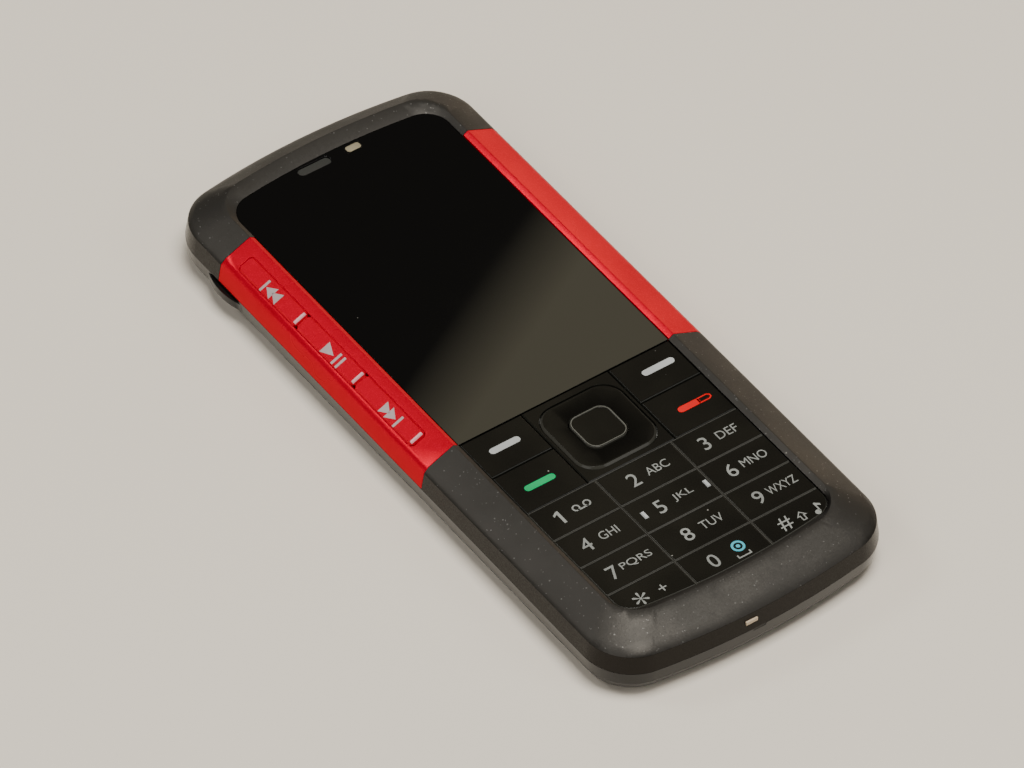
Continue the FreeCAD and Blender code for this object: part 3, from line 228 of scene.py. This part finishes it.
def satinPlastic(name, look):  # fine moulded texture
    material, tree, shader, place = startMaterial(name, look)
    grain = noise(tree, place, 5200.0, 2.0)
    clouds = ramp(tree, noise(tree, place, 150.0), *noiseRanges["clouds"])
    link(tree, mixColour(tree, clouds, look["colour"], look["deepColour"]), shader.inputs["Base Color"])
    rough = ramp(tree, grain, *noiseRanges["grain"], look["roughness"] - 0.06, look["roughness"] + 0.06)
    link(tree, rough, shader.inputs["Roughness"])
    bump(tree, shader, grain, look.get("grain", 0.25))
    return material


def wornMetal(name, look):  # rolled or sintered metal with a faint direction
    material, tree, shader, place = startMaterial(name, look)
    stretch = addNode(tree, "ShaderNodeMapping")
    stretch.inputs["Scale"].default_value = (1.0, 12.0, 12.0)
    link(tree, place, stretch.inputs["Vector"])
    lines = noise(tree, stretch.outputs["Vector"], 900.0)
    body = mixColour(tree, ramp(tree, lines, *noiseRanges["grain"]), look["colour"], look["deepColour"])
    link(tree, body, shader.inputs["Base Color"])
    rough = ramp(tree, lines, *noiseRanges["grain"], look["roughness"] - 0.05, look["roughness"] + 0.08)
    link(tree, rough, shader.inputs["Roughness"])
    bump(tree, shader, lines, 0.12)
    return material


def wovenMesh(name, look):  # dust mesh: crossed threads
    material, tree, shader, place = startMaterial(name, look)
    waves = []
    for direction in ("X", "Y"):
        wave = addNode(tree, "ShaderNodeTexWave", bands_direction=direction)
        wave.inputs["Scale"].default_value = look["threadScale"]
        link(tree, place, wave.inputs["Vector"])
        waves.append(wave.outputs["Fac"])
    top = addNode(tree, "ShaderNodeMath", operation="MAXIMUM")
    link(tree, waves[0], top.inputs[0])
    link(tree, waves[1], top.inputs[1])
    link(tree, mixColour(tree, top.outputs["Value"], look["deepColour"], look["colour"]),
         shader.inputs["Base Color"])
    bump(tree, shader, top.outputs["Value"], look["relief"], look["reliefDepth"] * mm)
    return material


plainDust = {"dustScale": 700.0, "dustSize": 0.10, "dustShare": 0.05, "dustColour": (0.30, 0.29, 0.26)}
keyGlossLook = {**plainDust, "colour": (0.0035, 0.0032, 0.0026), "roughness": 0.16, "smearLift": 0.10,
                "dustShare": 0.05, "wave": 0.05, "ior": 1.26, "edgeHighlightRange": (0.96, 0.80)}

finishes = {
    "graphite_paint": paintedFlake("graphitePaint", {
        **plainDust, "colour": (0.060, 0.056, 0.050), "deepColour": (0.053, 0.050, 0.045),
        "flakeColour": (0.17, 0.165, 0.155), "flakeScale": 6500.0, "flakeFrom": 0.988, "flakeLean": 0.07,
        "steepShadeColour": (0.020, 0.018, 0.016), "wallShare": 0.5, "steepRange": (0.80, 0.55),
        "metallic": 0.85, "roughness": 0.52, "ior": 1.4, "dustShare": 0.03}),
    "black_gloss_shell": glossPlastic("blackGlossShell", {
        **plainDust, "colour": (0.006, 0.0055, 0.005), "roughness": 0.13, "dustShare": 0.02, "ior": 1.33}),
    "black_satin_cover": satinPlastic("blackSatinCover", {
        "colour": (0.016, 0.015, 0.014), "deepColour": (0.013, 0.012, 0.011), "roughness": 0.42}),
    "window_glass": glossPlastic("windowGlass", {
        **plainDust, "colour": (0.0030, 0.0028, 0.0026), "roughness": 0.012, "smearLift": 0.015,
        "dustShare": 0.012, "wave": 0.01}),
    "red_lacquer": paintedFlake("redLacquer", {
        **plainDust, "colour": (0.60, 0.0003, 0.020), "deepColour": (0.54, 0.0002, 0.017),
        "flakeColour": (0.68, 0.002, 0.030), "flakeScale": 9000.0, "flakeFrom": 0.7, "flakeLean": 0.02,
        "steepShadeColour": (0.54, 0.0002, 0.017), "wallShare": 1.0, "steepRange": (0.4, 0.2),
        "tint": (1.0, 0.08, 0.14),
        "metallic": 0.45, "roughness": 0.30, "ior": 1.18,
        "dustColour": (0.75, 0.35, 0.33), "dustShare": 0.02}),
    "dark_mesh": wovenMesh("darkMesh", {
        "colour": (0.026, 0.027, 0.022), "deepColour": (0.008, 0.008, 0.007), "threadScale": 1400.0,
        "relief": 0.6, "reliefDepth": 0.05, "roughness": 0.6}),
    "sensor_lens": glossPlastic("sensorLens", {
        **plainDust, "colour": (0.33, 0.29, 0.19), "deepColour": (0.24, 0.21, 0.14), "cloudScale": 900.0,
        "roughness": 0.25}),
    "bezel_metal": wornMetal("bezelMetal", {
        "colour": (0.30, 0.30, 0.31), "deepColour": (0.24, 0.24, 0.25), "metallic": 1.0, "roughness": 0.16}),
    "lens_glass": glossPlastic("lensGlass", {
        **plainDust, "colour": (0.004, 0.004, 0.007), "roughness": 0.03, "dustShare": 0.004}),
    "module_black": satinPlastic("moduleBlack", {
        "colour": (0.018, 0.018, 0.018), "deepColour": (0.013, 0.013, 0.013), "roughness": 0.5}),
    "key_gloss": glossPlastic("keyGloss", {**keyGlossLook, "edgeHighlightColour": (0.036, 0.035, 0.029)}),
    "silicone": satinPlastic("silicone", {
        "colour": (0.62, 0.62, 0.58), "deepColour": (0.55, 0.55, 0.51), "roughness": 0.6}),
    "dome_metal": wornMetal("domeMetal", {
        "colour": (0.62, 0.60, 0.54), "deepColour": (0.55, 0.53, 0.48), "metallic": 1.0, "roughness": 0.3}),
    "board_green": satinPlastic("boardGreen", {
        "colour": (0.010, 0.085, 0.030), "deepColour": (0.007, 0.060, 0.022), "roughness": 0.38}),
    "display_panel": glossPlastic("displayPanel", {
        **plainDust, "colour": (0.012, 0.013, 0.014), "roughness": 0.1}),
    "speaker_metal": wornMetal("speakerMetal", {
        "colour": (0.42, 0.42, 0.42), "deepColour": (0.34, 0.34, 0.34), "metallic": 1.0, "roughness": 0.38}),
    "shield_metal": wornMetal("shieldMetal", {
        "colour": (0.58, 0.58, 0.55), "deepColour": (0.50, 0.50, 0.48), "metallic": 1.0, "roughness": 0.32}),
    "weight_metal": wornMetal("weightMetal", {
        "colour": (0.26, 0.26, 0.27), "deepColour": (0.20, 0.20, 0.21), "metallic": 1.0, "roughness": 0.45}),
    "battery_wrap": satinPlastic("batteryWrap", {
        "colour": (0.035, 0.036, 0.040), "deepColour": (0.028, 0.029, 0.032), "roughness": 0.5}),
    "sim_plastic": satinPlastic("simPlastic", {
        "colour": (0.72, 0.72, 0.68), "deepColour": (0.66, 0.66, 0.62), "roughness": 0.45}),
    "card_plastic": satinPlastic("cardPlastic", {
        "colour": (0.020, 0.020, 0.022), "deepColour": (0.015, 0.015, 0.017), "roughness": 0.45}),
    "socket_metal": wornMetal("socketMetal", {
        "colour": (0.60, 0.59, 0.56), "deepColour": (0.50, 0.49, 0.47), "metallic": 1.0, "roughness": 0.26}),
    "socket_plastic": satinPlastic("socketPlastic", {
        "colour": (0.014, 0.014, 0.014), "deepColour": (0.010, 0.010, 0.010), "roughness": 0.36}),
    "screw_steel": wornMetal("screwSteel", {
        "colour": (0.16, 0.16, 0.17), "deepColour": (0.12, 0.12, 0.13), "metallic": 1.0, "roughness": 0.34}),
}


# Each node takes the finish that the record names for it

slotOfNode = {entry["node"]: entry["material_slot"] for entry in frame["record"]["subparts"]}
for name, node in nodes.items():
    node.data.materials.clear()
    node.data.materials.append(finishes[slotOfNode[name]])

# The keys round the four-way key have a dimmer painted highlight on their rims than the number keys
quietGloss = glossPlastic("quietKeyGloss", {**keyGlossLook, "edgeHighlightColour": (0.010, 0.010, 0.008)})
for name in ("soft_key_left", "soft_key_right", "call_key", "end_key", "nav_bezel"):
    nodes[name].data.materials[0] = quietGloss
print("finishes done:", len(finishes))


# Soft edges on what shows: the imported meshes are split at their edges, so they are welded first

edgeWidths = {
    "front_cover": 0.10, "left_trim": 0.05, "right_trim": 0.05, "display_window": 0.05,
    "mid_frame": 0.08, "rear_housing": 0.06, "battery_cover": 0.06,
    "nav_bezel": 0.05, "nav_ring": 0.05, "select_key": 0.05,
    "power_key": 0.10, "volume_rocker": 0.16, "camera_bezel": 0.06,
    "music_key_next": 0.05, "music_key_play": 0.05, "music_key_previous": 0.05,
    "soft_key_left": 0.05, "soft_key_right": 0.05, "call_key": 0.05, "end_key": 0.05,
}
for name in nodes:
    if name.startswith("key_"):
        edgeWidths[name] = 0.05
roundedForms = ("left_trim", "right_trim", "mid_frame", "rear_housing", "battery_cover")
# In degrees: edges sharper than the first are bevelled, faces that meet flatter than the second are joined.
# The front cover's drawn corners keep all their faces, so that they shade evenly.
edgeAngles = {"cover": (30, 0.03), "rounded": (40, 0.5), "small": (24, 0.5)}


def softenEdges(node, width, sharpAngle, flatAngle):  # blunter edges are only shaded round
    weld = node.modifiers.new("weld", "WELD")
    weld.merge_threshold = 0.002 * mm
    flat = node.modifiers.new("wholeFaces", "DECIMATE")
    flat.decimate_type = "DISSOLVE"
    flat.angle_limit = math.radians(flatAngle)
    bevel = node.modifiers.new("softEdges", "BEVEL")
    bevel.width = width * mm
    bevel.segments = 2
    bevel.limit_method = "ANGLE"
    bevel.angle_limit = math.radians(sharpAngle)
    bevel.use_clamp_overlap = True
    bevel.harden_normals = False
    normals = node.modifiers.new("cleanNormals", "WEIGHTED_NORMAL")
    normals.mode = "FACE_AREA_WITH_ANGLE"
    normals.weight = 50
    normals.keep_sharp = False


for name, width in edgeWidths.items():
    kind = "cover" if name == "front_cover" else "rounded" if name in roundedForms else "small"
    softenEdges(nodes[name], width, *edgeAngles[kind])
print("edges softened:", len(edgeWidths))


# Printing on the keys, each on its own key, and a painted highlight round the centre key

inkLook = {"roughness": 0.45, "grain": 0.1, "ior": 1.2}
deepShare = 0.82  # how dark an ink's deeper patches are
printLook = {
    "height": 2.3, "lettersHeight": 1.4, "plusHeight": 1.2, "barHeight": 1.05, "lineWidth": 0.16,
    "loopWidth": 0.2, "bold": 0.003, "lift": 0.02, "thickness": 0.01, "keyTop": 9.4, "selectTop": 9.54,
}
# The rim, pink and pale colours are painted highlights; the white one is print on the soft keys and a painted
# highlight on the nibs
inkColours = {
    "whiteAndHighlight": (0.50, 0.52, 0.51), "green": (0.0, 0.41, 0.13), "red": (0.72, 0.010, 0.012),
    "cyan": (0.10, 0.50, 0.62), "silver": (0.46, 0.37, 0.37), "pinkHighlight": (0.85, 0.42, 0.46),
    "rimHighlight": (0.14, 0.14, 0.12), "figure": (0.28, 0.29, 0.27), "paleHighlight": (0.62, 0.50, 0.36),
    "maskBlack": (0.0035, 0.0032, 0.0028),
}


def printInk(name, colour):
    deep = tuple(c * deepShare for c in colour)
    return satinPlastic(name, {**inkLook, "colour": colour, "deepColour": deep})


inks = {name: printInk(name + "Print", colour) for name, colour in inkColours.items()}


def glyphShapes(text):  # polygons of a line of text, from Blender's own font
    curve = bpy.data.curves.new("glyphs", "FONT")
    curve.body = text
    curve.resolution_u = 5
    curve.offset = printLook["bold"] if text.isdigit() else 0.0
    carrier = bpy.data.objects.new("glyphs", curve)
    bpy.context.scene.collection.objects.link(carrier)
    bpy.context.view_layer.update()
    mesh = bpy.data.meshes.new_from_object(carrier)
    points = [v.co.copy() for v in mesh.vertices]
    faces = [list(p.vertices) for p in mesh.polygons]
    bpy.data.objects.remove(carrier)
    bpy.data.curves.remove(curve)
    bpy.data.meshes.remove(mesh)
    return points, faces


def fitted(text, centre, height, width=None):
    points, faces = glyphShapes(text)
    low = Vector((min(p.x for p in points), min(p.y for p in points)))
    high = Vector((max(p.x for p in points), max(p.y for p in points)))
    scaleY = height / (high.y - low.y)
    scaleX = width / (high.x - low.x) if width else scaleY
    middle = (low + high) / 2
    placed = [(centre[0] + (p.x - middle.x) * scaleX, centre[1] + (p.y - middle.y) * scaleY) for p in points]
    return placed, faces


def bar(centre, width, height, steps=6):  # rounded bar
    radius = height / 2
    points = []
    for side in (1, -1):
        for step in range(steps + 1):
            turn = math.pi * (step / steps - 0.5)
            points.append((centre[0] + side * (width / 2 - radius + radius * math.cos(turn)),
                           centre[1] + side * radius * math.sin(turn)))
    return points, [list(range(len(points)))]


def ring(centre, outer, inner, steps=20):
    points, faces = [], []
    for step in range(steps):
        turn = math.radians(360.0 * step / steps)
        for radius in (outer, inner):
            points.append((centre[0] + radius * math.cos(turn), centre[1] + radius * math.sin(turn)))
    for step in range(steps):
        a, b = 2 * step, 2 * ((step + 1) % steps)
        faces.append([a, b, b + 1, a + 1])
    return points, faces


def outline(corners, width):  # closed line of even width round a polygon, given counter-clockwise
    points, faces = [], []
    count = len(corners)
    for index in range(count):
        here = Vector(corners[index])
        before = (here - Vector(corners[index - 1])).normalized()
        after = (Vector(corners[(index + 1) % count]) - here).normalized()
        inward = Vector((-before.y - after.y, before.x + after.x)).normalized()
        reach = width / max(0.35, inward.dot(Vector((-before.y, before.x))))
        points += [tuple(here), tuple(here + inward * reach)]
    for index in range(count):
        a, b = 2 * index, 2 * ((index + 1) % count)
        faces.append([a, b, b + 1, a + 1])
    return points, faces


def polygon(*corners):
    return list(corners), [list(range(len(corners)))]


def block(x0, y0, x1, y1):
    return polygon((x0, y0), (x1, y0), (x1, y1), (x0, y1))


def roundedLoop(centre, half, radius, steps=5):
    points = []
    for index, (sideX, sideY) in enumerate(((1, 1), (-1, 1), (-1, -1), (1, -1))):
        for step in range(steps + 1):
            turn = math.pi / 2 * (index + step / steps)
            points.append((centre[0] + sideX * (half[0] - radius) + radius * math.cos(turn),
                           centre[1] + sideY * (half[1] - radius) + radius * math.sin(turn)))
    return points


def roundedRing(centre, outer, outerRadius, inner, innerRadius):
    outside = roundedLoop(centre, outer, outerRadius)
    inside = roundedLoop(centre, inner, innerRadius)
    count = len(outside)
    faces = [[i, (i + 1) % count, count + (i + 1) % count, count + i] for i in range(count)]
    return outside + inside, faces


def flatPlace(x, y):
    return Vector((x, y, printLook["keyTop"] + printLook["lift"])) * mm


def raisedPlace(x, y):  # on the centre key, which stands proud
    return Vector((x, y, printLook["selectTop"] + printLook["lift"])) * mm


def paintOn(name, shapes, ink, body, place=flatPlace):
    points, faces = [], []
    for shapePoints, shapeFaces in shapes:
        first = len(points)
        points += [place(x, y) for x, y in shapePoints]
        faces += [[first + i for i in face] for face in shapeFaces]
    mesh = bpy.data.meshes.new(name)
    mesh.from_pydata(points, [], faces)
    mesh.materials.append(inks[ink])
    mesh.update()
    piece = bpy.data.objects.new(name, mesh)
    bpy.context.scene.collection.objects.link(piece)
    thick = piece.modifiers.new("inkThickness", "SOLIDIFY")
    thick.thickness = printLook["thickness"] * mm
    thick.offset = 1
    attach(piece, body)


numberPrint = {  # digit and its place, then the letters with their place and width
    "key_1": ("1", (-13.7, -25.9), None, None, None),
    "key_2": ("2", (-1.9, -25.9), "ABC", (1.95, -25.75), 3.5),
    "key_3": ("3", (9.55, -25.9), "DEF", (13.2, -25.75), 3.2),
    "key_4": ("4", (-13.7, -31.7), "GHI", (-10.05, -31.55), 2.9),
    "key_5": ("5", (-1.9, -31.7), "JKL", (1.85, -31.55), 3.1),
    "key_6": ("6", (9.55, -31.7), "MNO", (13.2, -31.55), 4.0),
    "key_7": ("7", (-13.7, -37.6), "PQRS", (-10.0, -37.45), 4.8),
    "key_8": ("8", (-1.9, -37.6), "TUV", (2.05, -37.45), 3.5),
    "key_9": ("9", (9.55, -37.6), "WXYZ", (13.3, -37.45), 4.6),
    "key_star": ("*", (-13.5, -43.25), "+", (-10.1, -43.3), 1.2),
    "key_0": ("0", (-1.9, -43.25), None, None, None),
    "key_hash": ("#", (9.6, -43.25), None, None, None),
}
flaggedOne = ((0.0, -1.15), (0.42, -1.15), (0.42, 1.15), (0.10, 1.15), (-0.55, 0.74), (-0.55, 0.36),
              (0.0, 0.66))
shiftArrow = ((11.85, -44.2), (12.55, -44.2), (12.55, -43.4), (13.0, -43.4), (12.2, -42.5), (11.4, -43.4),
              (11.85, -43.4))
keySigns = {  # voice mail, space, shift with a plain note
    "key_1": [ring((-10.95, -25.7), 0.58, 0.36), ring((-9.25, -25.7), 0.58, 0.36),
              block(-10.95, -26.28, -9.25, -26.06)],
    "key_0": [block(1.0, -44.9, 3.1, -44.68), block(1.0, -44.68, 1.22, -44.25),
              block(2.88, -44.68, 3.1, -44.25)],
    "key_hash": [outline(shiftArrow, printLook["lineWidth"]), ring((14.35, -44.0), 0.42, 0.0),
                 block(14.62, -44.0, 14.84, -42.4),
                 polygon((14.84, -42.9), (15.4, -43.2), (15.4, -42.85), (14.84, -42.4))],
}
for key, (digit, place, letters, lettersPlace, width) in numberPrint.items():
    if digit == "1":
        shapes = [polygon(*((place[0] + dx, place[1] + dy) for dx, dy in flaggedOne))]
    else:
        shapes = [fitted(digit, place, printLook["height"])]
    if letters:
        height = printLook["plusHeight" if letters == "+" else "lettersHeight"]
        shapes.append(fitted(letters, lettersPlace, height, width))
    paintOn("print_" + key, shapes + keySigns.get(key, []), "figure", key)

targetSign = {"centre": (2.2, -42.95), "ring": (0.95, 0.62, 24), "dot": (0.30, 0.0, 12)}
paintOn("print_key_0_sign", [ring(targetSign["centre"], *targetSign["ring"]),
                             ring(targetSign["centre"], *targetSign["dot"])], "cyan", "key_0")

barPrint = {  # place, width and ink of the bars
    "soft_key_left": ((-11.95, -11.4), 4.8, "whiteAndHighlight"),
    "soft_key_right": ((12.85, -11.25), 5.1, "whiteAndHighlight"),
    "call_key": ((-12.1, -19.35), 4.8, "green"),
    "end_key": ((11.95, -19.25), 3.5, "red"),
}
endLoop = ((13.4, -19.77), (15.0, -19.77), (15.45, -19.5), (15.45, -19.0), (15.0, -18.73), (13.4, -18.73))
for key, (place, width, ink) in barPrint.items():
    shapes = [bar(place, width, printLook["barHeight"])]
    if key == "end_key":
        shapes.append(outline(endLoop, printLook["loopWidth"]))
    paintOn("print_" + key, shapes, ink, key)

# A pale line round the edge of the centre key: a painted highlight
selectRimHighlight = {"centre": (0.0, -15.6), "outer": (3.06, 3.06), "outerRadius": 1.56,
             "inner": (2.94, 2.94), "innerRadius": 1.44}
sensorMask = {"centre": (3.6, 44.8), "outer": (1.26, 0.71), "outerRadius": 0.02,
              "inner": (1.12, 0.57), "innerRadius": 0.42}
paintOn("highlight_select_rim", [roundedRing(**selectRimHighlight)], "rimHighlight", "select_key", raisedPlace)
paintOn("print_sensor_mask", [roundedRing(**sensorMask)], "maskBlack", "phone")


# Small solids built from boxes that are given by their corners

def boxes(name, corners, material, body, place=lambda x, y, z: Vector((x, y, z)) * mm):
    points, faces = [], []
    for (x0, x1), (y0, y1), (z0, z1), slimmer in corners:
        first = len(points)
        for z, inset in ((z0, 0.0), (z1, slimmer)):
            points += [place(x0 + inset, y0 + inset, z), place(x1 - inset, y0 + inset, z),
                       place(x1 - inset, y1 - inset, z), place(x0 + inset, y1 - inset, z)]
        faces += [[first + i for i in face] for face in
                  ((3, 2, 1, 0), (4, 5, 6, 7), (0, 1, 5, 4), (1, 2, 6, 5), (2, 3, 7, 6), (3, 0, 4, 7))]
    mesh = bpy.data.meshes.new(name)
    mesh.from_pydata(points, [], faces)
    mesh.materials.append(material)
    mesh.update()
    piece = bpy.data.objects.new(name, mesh)
    bpy.context.scene.collection.objects.link(piece)
    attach(piece, body)


# Finger marks on the middle key: white caps over its two nibs, a painted highlight where light glints on them

nibLook = {"places": (-4.45, 5.5), "row": -31.75, "half": (0.29, 0.64), "low": 9.41, "high": 9.575,
           "edge": 0.10}
boxes("highlight_key_5_nibs", [((x - nibLook["half"][0], x + nibLook["half"][0]),
                            (nibLook["row"] - nibLook["half"][1], nibLook["row"] + nibLook["half"][1]),
                            (nibLook["low"], nibLook["high"]), nibLook["edge"]) for x in nibLook["places"]],
      inks["whiteAndHighlight"], "key_5")


# Ribs of the keypad sheet in the gaps between the number keys

ribLook = {
    "half": 0.035, "low": 8.1, "high": 9.31, "columns": (-6.1, 6.1), "reach": 16.7, "bottom": -45.3,
    "rows": (-23.05, -28.85, -34.65, -40.45),
    "colour": (0.070, 0.068, 0.058), "deepColour": (0.055, 0.053, 0.045), "roughness": 0.55,
}
ribs = [((x - ribLook["half"], x + ribLook["half"]), (ribLook["bottom"], ribLook["rows"][0]),
         (ribLook["low"], ribLook["high"]), 0.0) for x in ribLook["columns"]]
ribs += [((-ribLook["reach"], ribLook["reach"]), (y - ribLook["half"], y + ribLook["half"]),
          (ribLook["low"], ribLook["high"]), 0.0) for y in ribLook["rows"]]
boxes("keypad_ribs", ribs, satinPlastic("ribSilicone", ribLook), "phone")


# Signs on the music keys, laid on the slope of the side

slopeFrame = {"ridge": 17.8, "height": 9.9, "lean": math.atan2(1.78, 3.85), "proud": 0.2, "middle": 2.725}
musicLook = {"half": 0.95, "shift": (0.25, -0.34)}  # the signs sit a little low and outward of the middle


def onSlope(down, y, out):
    lean = slopeFrame["lean"]
    x = -(slopeFrame["ridge"] + down * math.cos(lean) + out * math.sin(lean))
    z = slopeFrame["height"] - down * math.sin(lean) + out * math.cos(lean)
    return Vector((x, y, z)) * mm


def slopePlace(s, y):  # s runs down the slope from the middle of the keys
    return onSlope(slopeFrame["middle"] + s, y, slopeFrame["proud"] + printLook["lift"])


def signPlace(s, y):
    return slopePlace(s + musicLook["shift"][0], y + musicLook["shift"][1])


def musicTriangle(high, low):  # points towards low
    return polygon((-musicLook["half"], high), (0.0, low), (musicLook["half"], high))


def musicBar(low, high):
    return block(-musicLook["half"], low, musicLook["half"], high)


musicPrint = {
    "previous": [musicBar(30.75, 31.15), musicTriangle(29.0, 30.6), musicTriangle(27.7, 29.3)],
    "play": [musicTriangle(17.3, 15.2), musicBar(14.4, 14.8), musicBar(13.5, 13.9)],
    "next": [musicTriangle(4.1, 2.5), musicTriangle(2.8, 1.2), musicBar(0.5, 0.9)],
}
for name, shapes in musicPrint.items():
    paintOn("print_music_" + name, shapes, "silver", "music_key_" + name, signPlace)

# Pale caps over the ridges at the music keys' ends, a painted highlight where light glints on the ridges
ridgeLook = {"half": 0.98, "along": (0.16, 0.64), "out": (0.205, 0.42), "edge": 0.10,
             "starts": {"next": -3.85, "play": 9.35, "previous": 22.55}}
for name, low in ridgeLook["starts"].items():
    across = (slopeFrame["middle"] - ridgeLook["half"], slopeFrame["middle"] + ridgeLook["half"])
    along = (low + ridgeLook["along"][0], low + ridgeLook["along"][1])
    boxes("highlight_music_ridge_" + name, [(across, along, ridgeLook["out"], ridgeLook["edge"])],
          inks["pinkHighlight"], "music_key_" + name, onSlope)

# Red seal in the gaps round the music keys
sealLook = {"half": 0.03, "out": (-0.55, -0.03), "sides": (1.40, 4.05), "ends": (-3.90, 9.30, 22.50, 35.70),
            "short": 0.4, "inside": 0.45}
sealLength = (sealLook["ends"][0] + sealLook["short"], sealLook["ends"][-1] - sealLook["short"])
sealWidth = (sealLook["sides"][0] + sealLook["inside"], sealLook["sides"][1] - sealLook["inside"])
seals = [((s - sealLook["half"], s + sealLook["half"]), sealLength, sealLook["out"], 0.0)
         for s in sealLook["sides"]]
seals += [(sealWidth, (y - sealLook["half"], y + sealLook["half"]), sealLook["out"], 0.0)
          for y in sealLook["ends"]]
boxes("music_seal", seals, finishes["red_lacquer"], "phone", onSlope)

# Microphone: a pale patch under the front cover's edge, a painted highlight, and the seal in the slot below it
microphoneLook = {"highlightPatch": ((-3.2, -1.4), (-52.27, -52.0), (5.95, 6.45), 0.0),
                  "seal": ((-1.97, -0.03), (-52.2, -51.6), (4.23, 4.67), 0.0)}
boxes("microphone_highlight", [microphoneLook["highlightPatch"]], inks["paleHighlight"], "phone")
boxes("microphone_seal", [microphoneLook["seal"]], finishes["black_gloss_shell"], "phone")
print("printing done")


# Floor, lights and surroundings

floorLook = {"half": 6.0, "below": 0.05, "colour": (0.86, 0.79, 0.68), "roughness": 0.55, "patchScale": 8.0,
             "patchShade": 0.98}


def makeFloor(look):
    half = look["half"]
    mesh = bpy.data.meshes.new("floor")
    corners = [(-half, -half, 0), (half, -half, 0), (half, half, 0), (-half, half, 0)]
    mesh.from_pydata(corners, [], [(0, 1, 2, 3)])
    floor = bpy.data.objects.new("floor", mesh)
    floor.location.z = -look["below"] * mm
    bpy.context.scene.collection.objects.link(floor)
    material, tree, shader, place = startMaterial("paleFloor", look)
    patches = ramp(tree, noise(tree, place, look["patchScale"]), *noiseRanges["grain"])
    deep = tuple(c * look["patchShade"] for c in look["colour"])
    link(tree, mixColour(tree, patches, look["colour"], deep), shader.inputs["Base Color"])
    mesh.materials.append(material)


makeFloor(floorLook)

lightLook = {  # place, point it looks at, size, watts, colour
    "overhead": ((0.0, -0.24, 1.28), (0.0, 0.0, 0.0), (0.60, 0.60), 19.0, (1.0, 0.97, 0.92)),
    "leftFill": ((-1.20, -0.50, 0.90), (0.0, 0.0, 0.0), (0.90, 0.90), 6.0, (1.0, 0.98, 0.95)),
    "frontFill": ((0.75, -1.15, 0.90), (0.0, 0.0, 0.0), (0.60, 0.60), 3.0, (1.0, 0.98, 0.95)),
    "backFill": ((-0.78, 0.78, 1.04), (0.0, 0.0, 0.0), (0.40, 0.40), 3.5, (1.0, 0.98, 0.95)),
    "rightGlow": ((1.75, 1.20, 0.42), (0.0, 0.0, 0.0), (1.10, 0.50), 4.5, (1.0, 0.78, 0.55)),
}
for name, (place, target, size, watts, colour) in lightLook.items():
    data = bpy.data.lights.new(name, "AREA")
    data.shape = "RECTANGLE"
    data.size, data.size_y = size
    data.energy = watts
    data.color = colour
    lamp = bpy.data.objects.new(name, data)
    lamp.location = place
    lamp.rotation_euler = (Vector(target) - Vector(place)).to_track_quat("-Z", "Y").to_euler()
    bpy.context.scene.collection.objects.link(lamp)

# The soft panel that the window mirrors: it fades in from the slanting line across the glass
panelLook = {
    "lineStart": (-16.3, 4.8), "lineEnd": (16.1, 21.8), "glassTop": 9.4,
    "height": 0.75, "depth": 0.12, "overhang": 0.10, "radiance": 1.25, "colour": (1.0, 0.90, 0.62),
    "fadeRange": (1.0, 0.84),
}


def mirroredOnto(point, look):  # where the camera's ray lands on the panel's plane after the glass
    eye = camera.matrix_world.translation
    glass = look["glassTop"] * mm
    mirrored = Vector((eye.x, eye.y, 2 * glass - eye.z))
    onGlass = Vector((point[0] * mm, point[1] * mm, glass))
    return mirrored + (onGlass - mirrored) * ((look["height"] - mirrored.z) / (glass - mirrored.z))


def makePanel(look):
    start, end = mirroredOnto(look["lineStart"], look), mirroredOnto(look["lineEnd"], look)
    along = (end - start).normalized()
    side = Vector((along.y, -along.x, 0))  # towards the keypad
    width = (end - start).length + 2 * look["overhang"]
    data = bpy.data.lights.new("windowPanel", "AREA")
    data.shape = "RECTANGLE"
    data.size, data.size_y = width, look["depth"]
    data.energy = look["radiance"] * math.pi * width * look["depth"]
    data.color = look["colour"]
    data.use_nodes = True
    tree = data.node_tree
    across = addNode(tree, "ShaderNodeSeparateXYZ")
    link(tree, addNode(tree, "ShaderNodeNewGeometry").outputs["Parametric"], across.inputs["Vector"])
    fade = ramp(tree, across.outputs["Y"], *look["fadeRange"])
    link(tree, fade, tree.nodes["Emission"].inputs["Strength"])
    lamp = bpy.data.objects.new("windowPanel", data)
    turn = Matrix((along, -side, along.cross(-side))).transposed().to_4x4()
    lamp.matrix_world = Matrix.Translation((start + end) / 2 + side * look["depth"] / 2) @ turn
    bpy.context.scene.collection.objects.link(lamp)


makePanel(panelLook)

worldLook = {"colour": (1.0, 0.96, 0.90), "strength": 0.05}
world = bpy.data.worlds.new("studio")
bpy.context.scene.world = world
world.use_nodes = True
world.node_tree.nodes["Background"].inputs["Color"].default_value = (*worldLook["colour"], 1)
world.node_tree.nodes["Background"].inputs["Strength"].default_value = worldLook["strength"]
print("lights done")
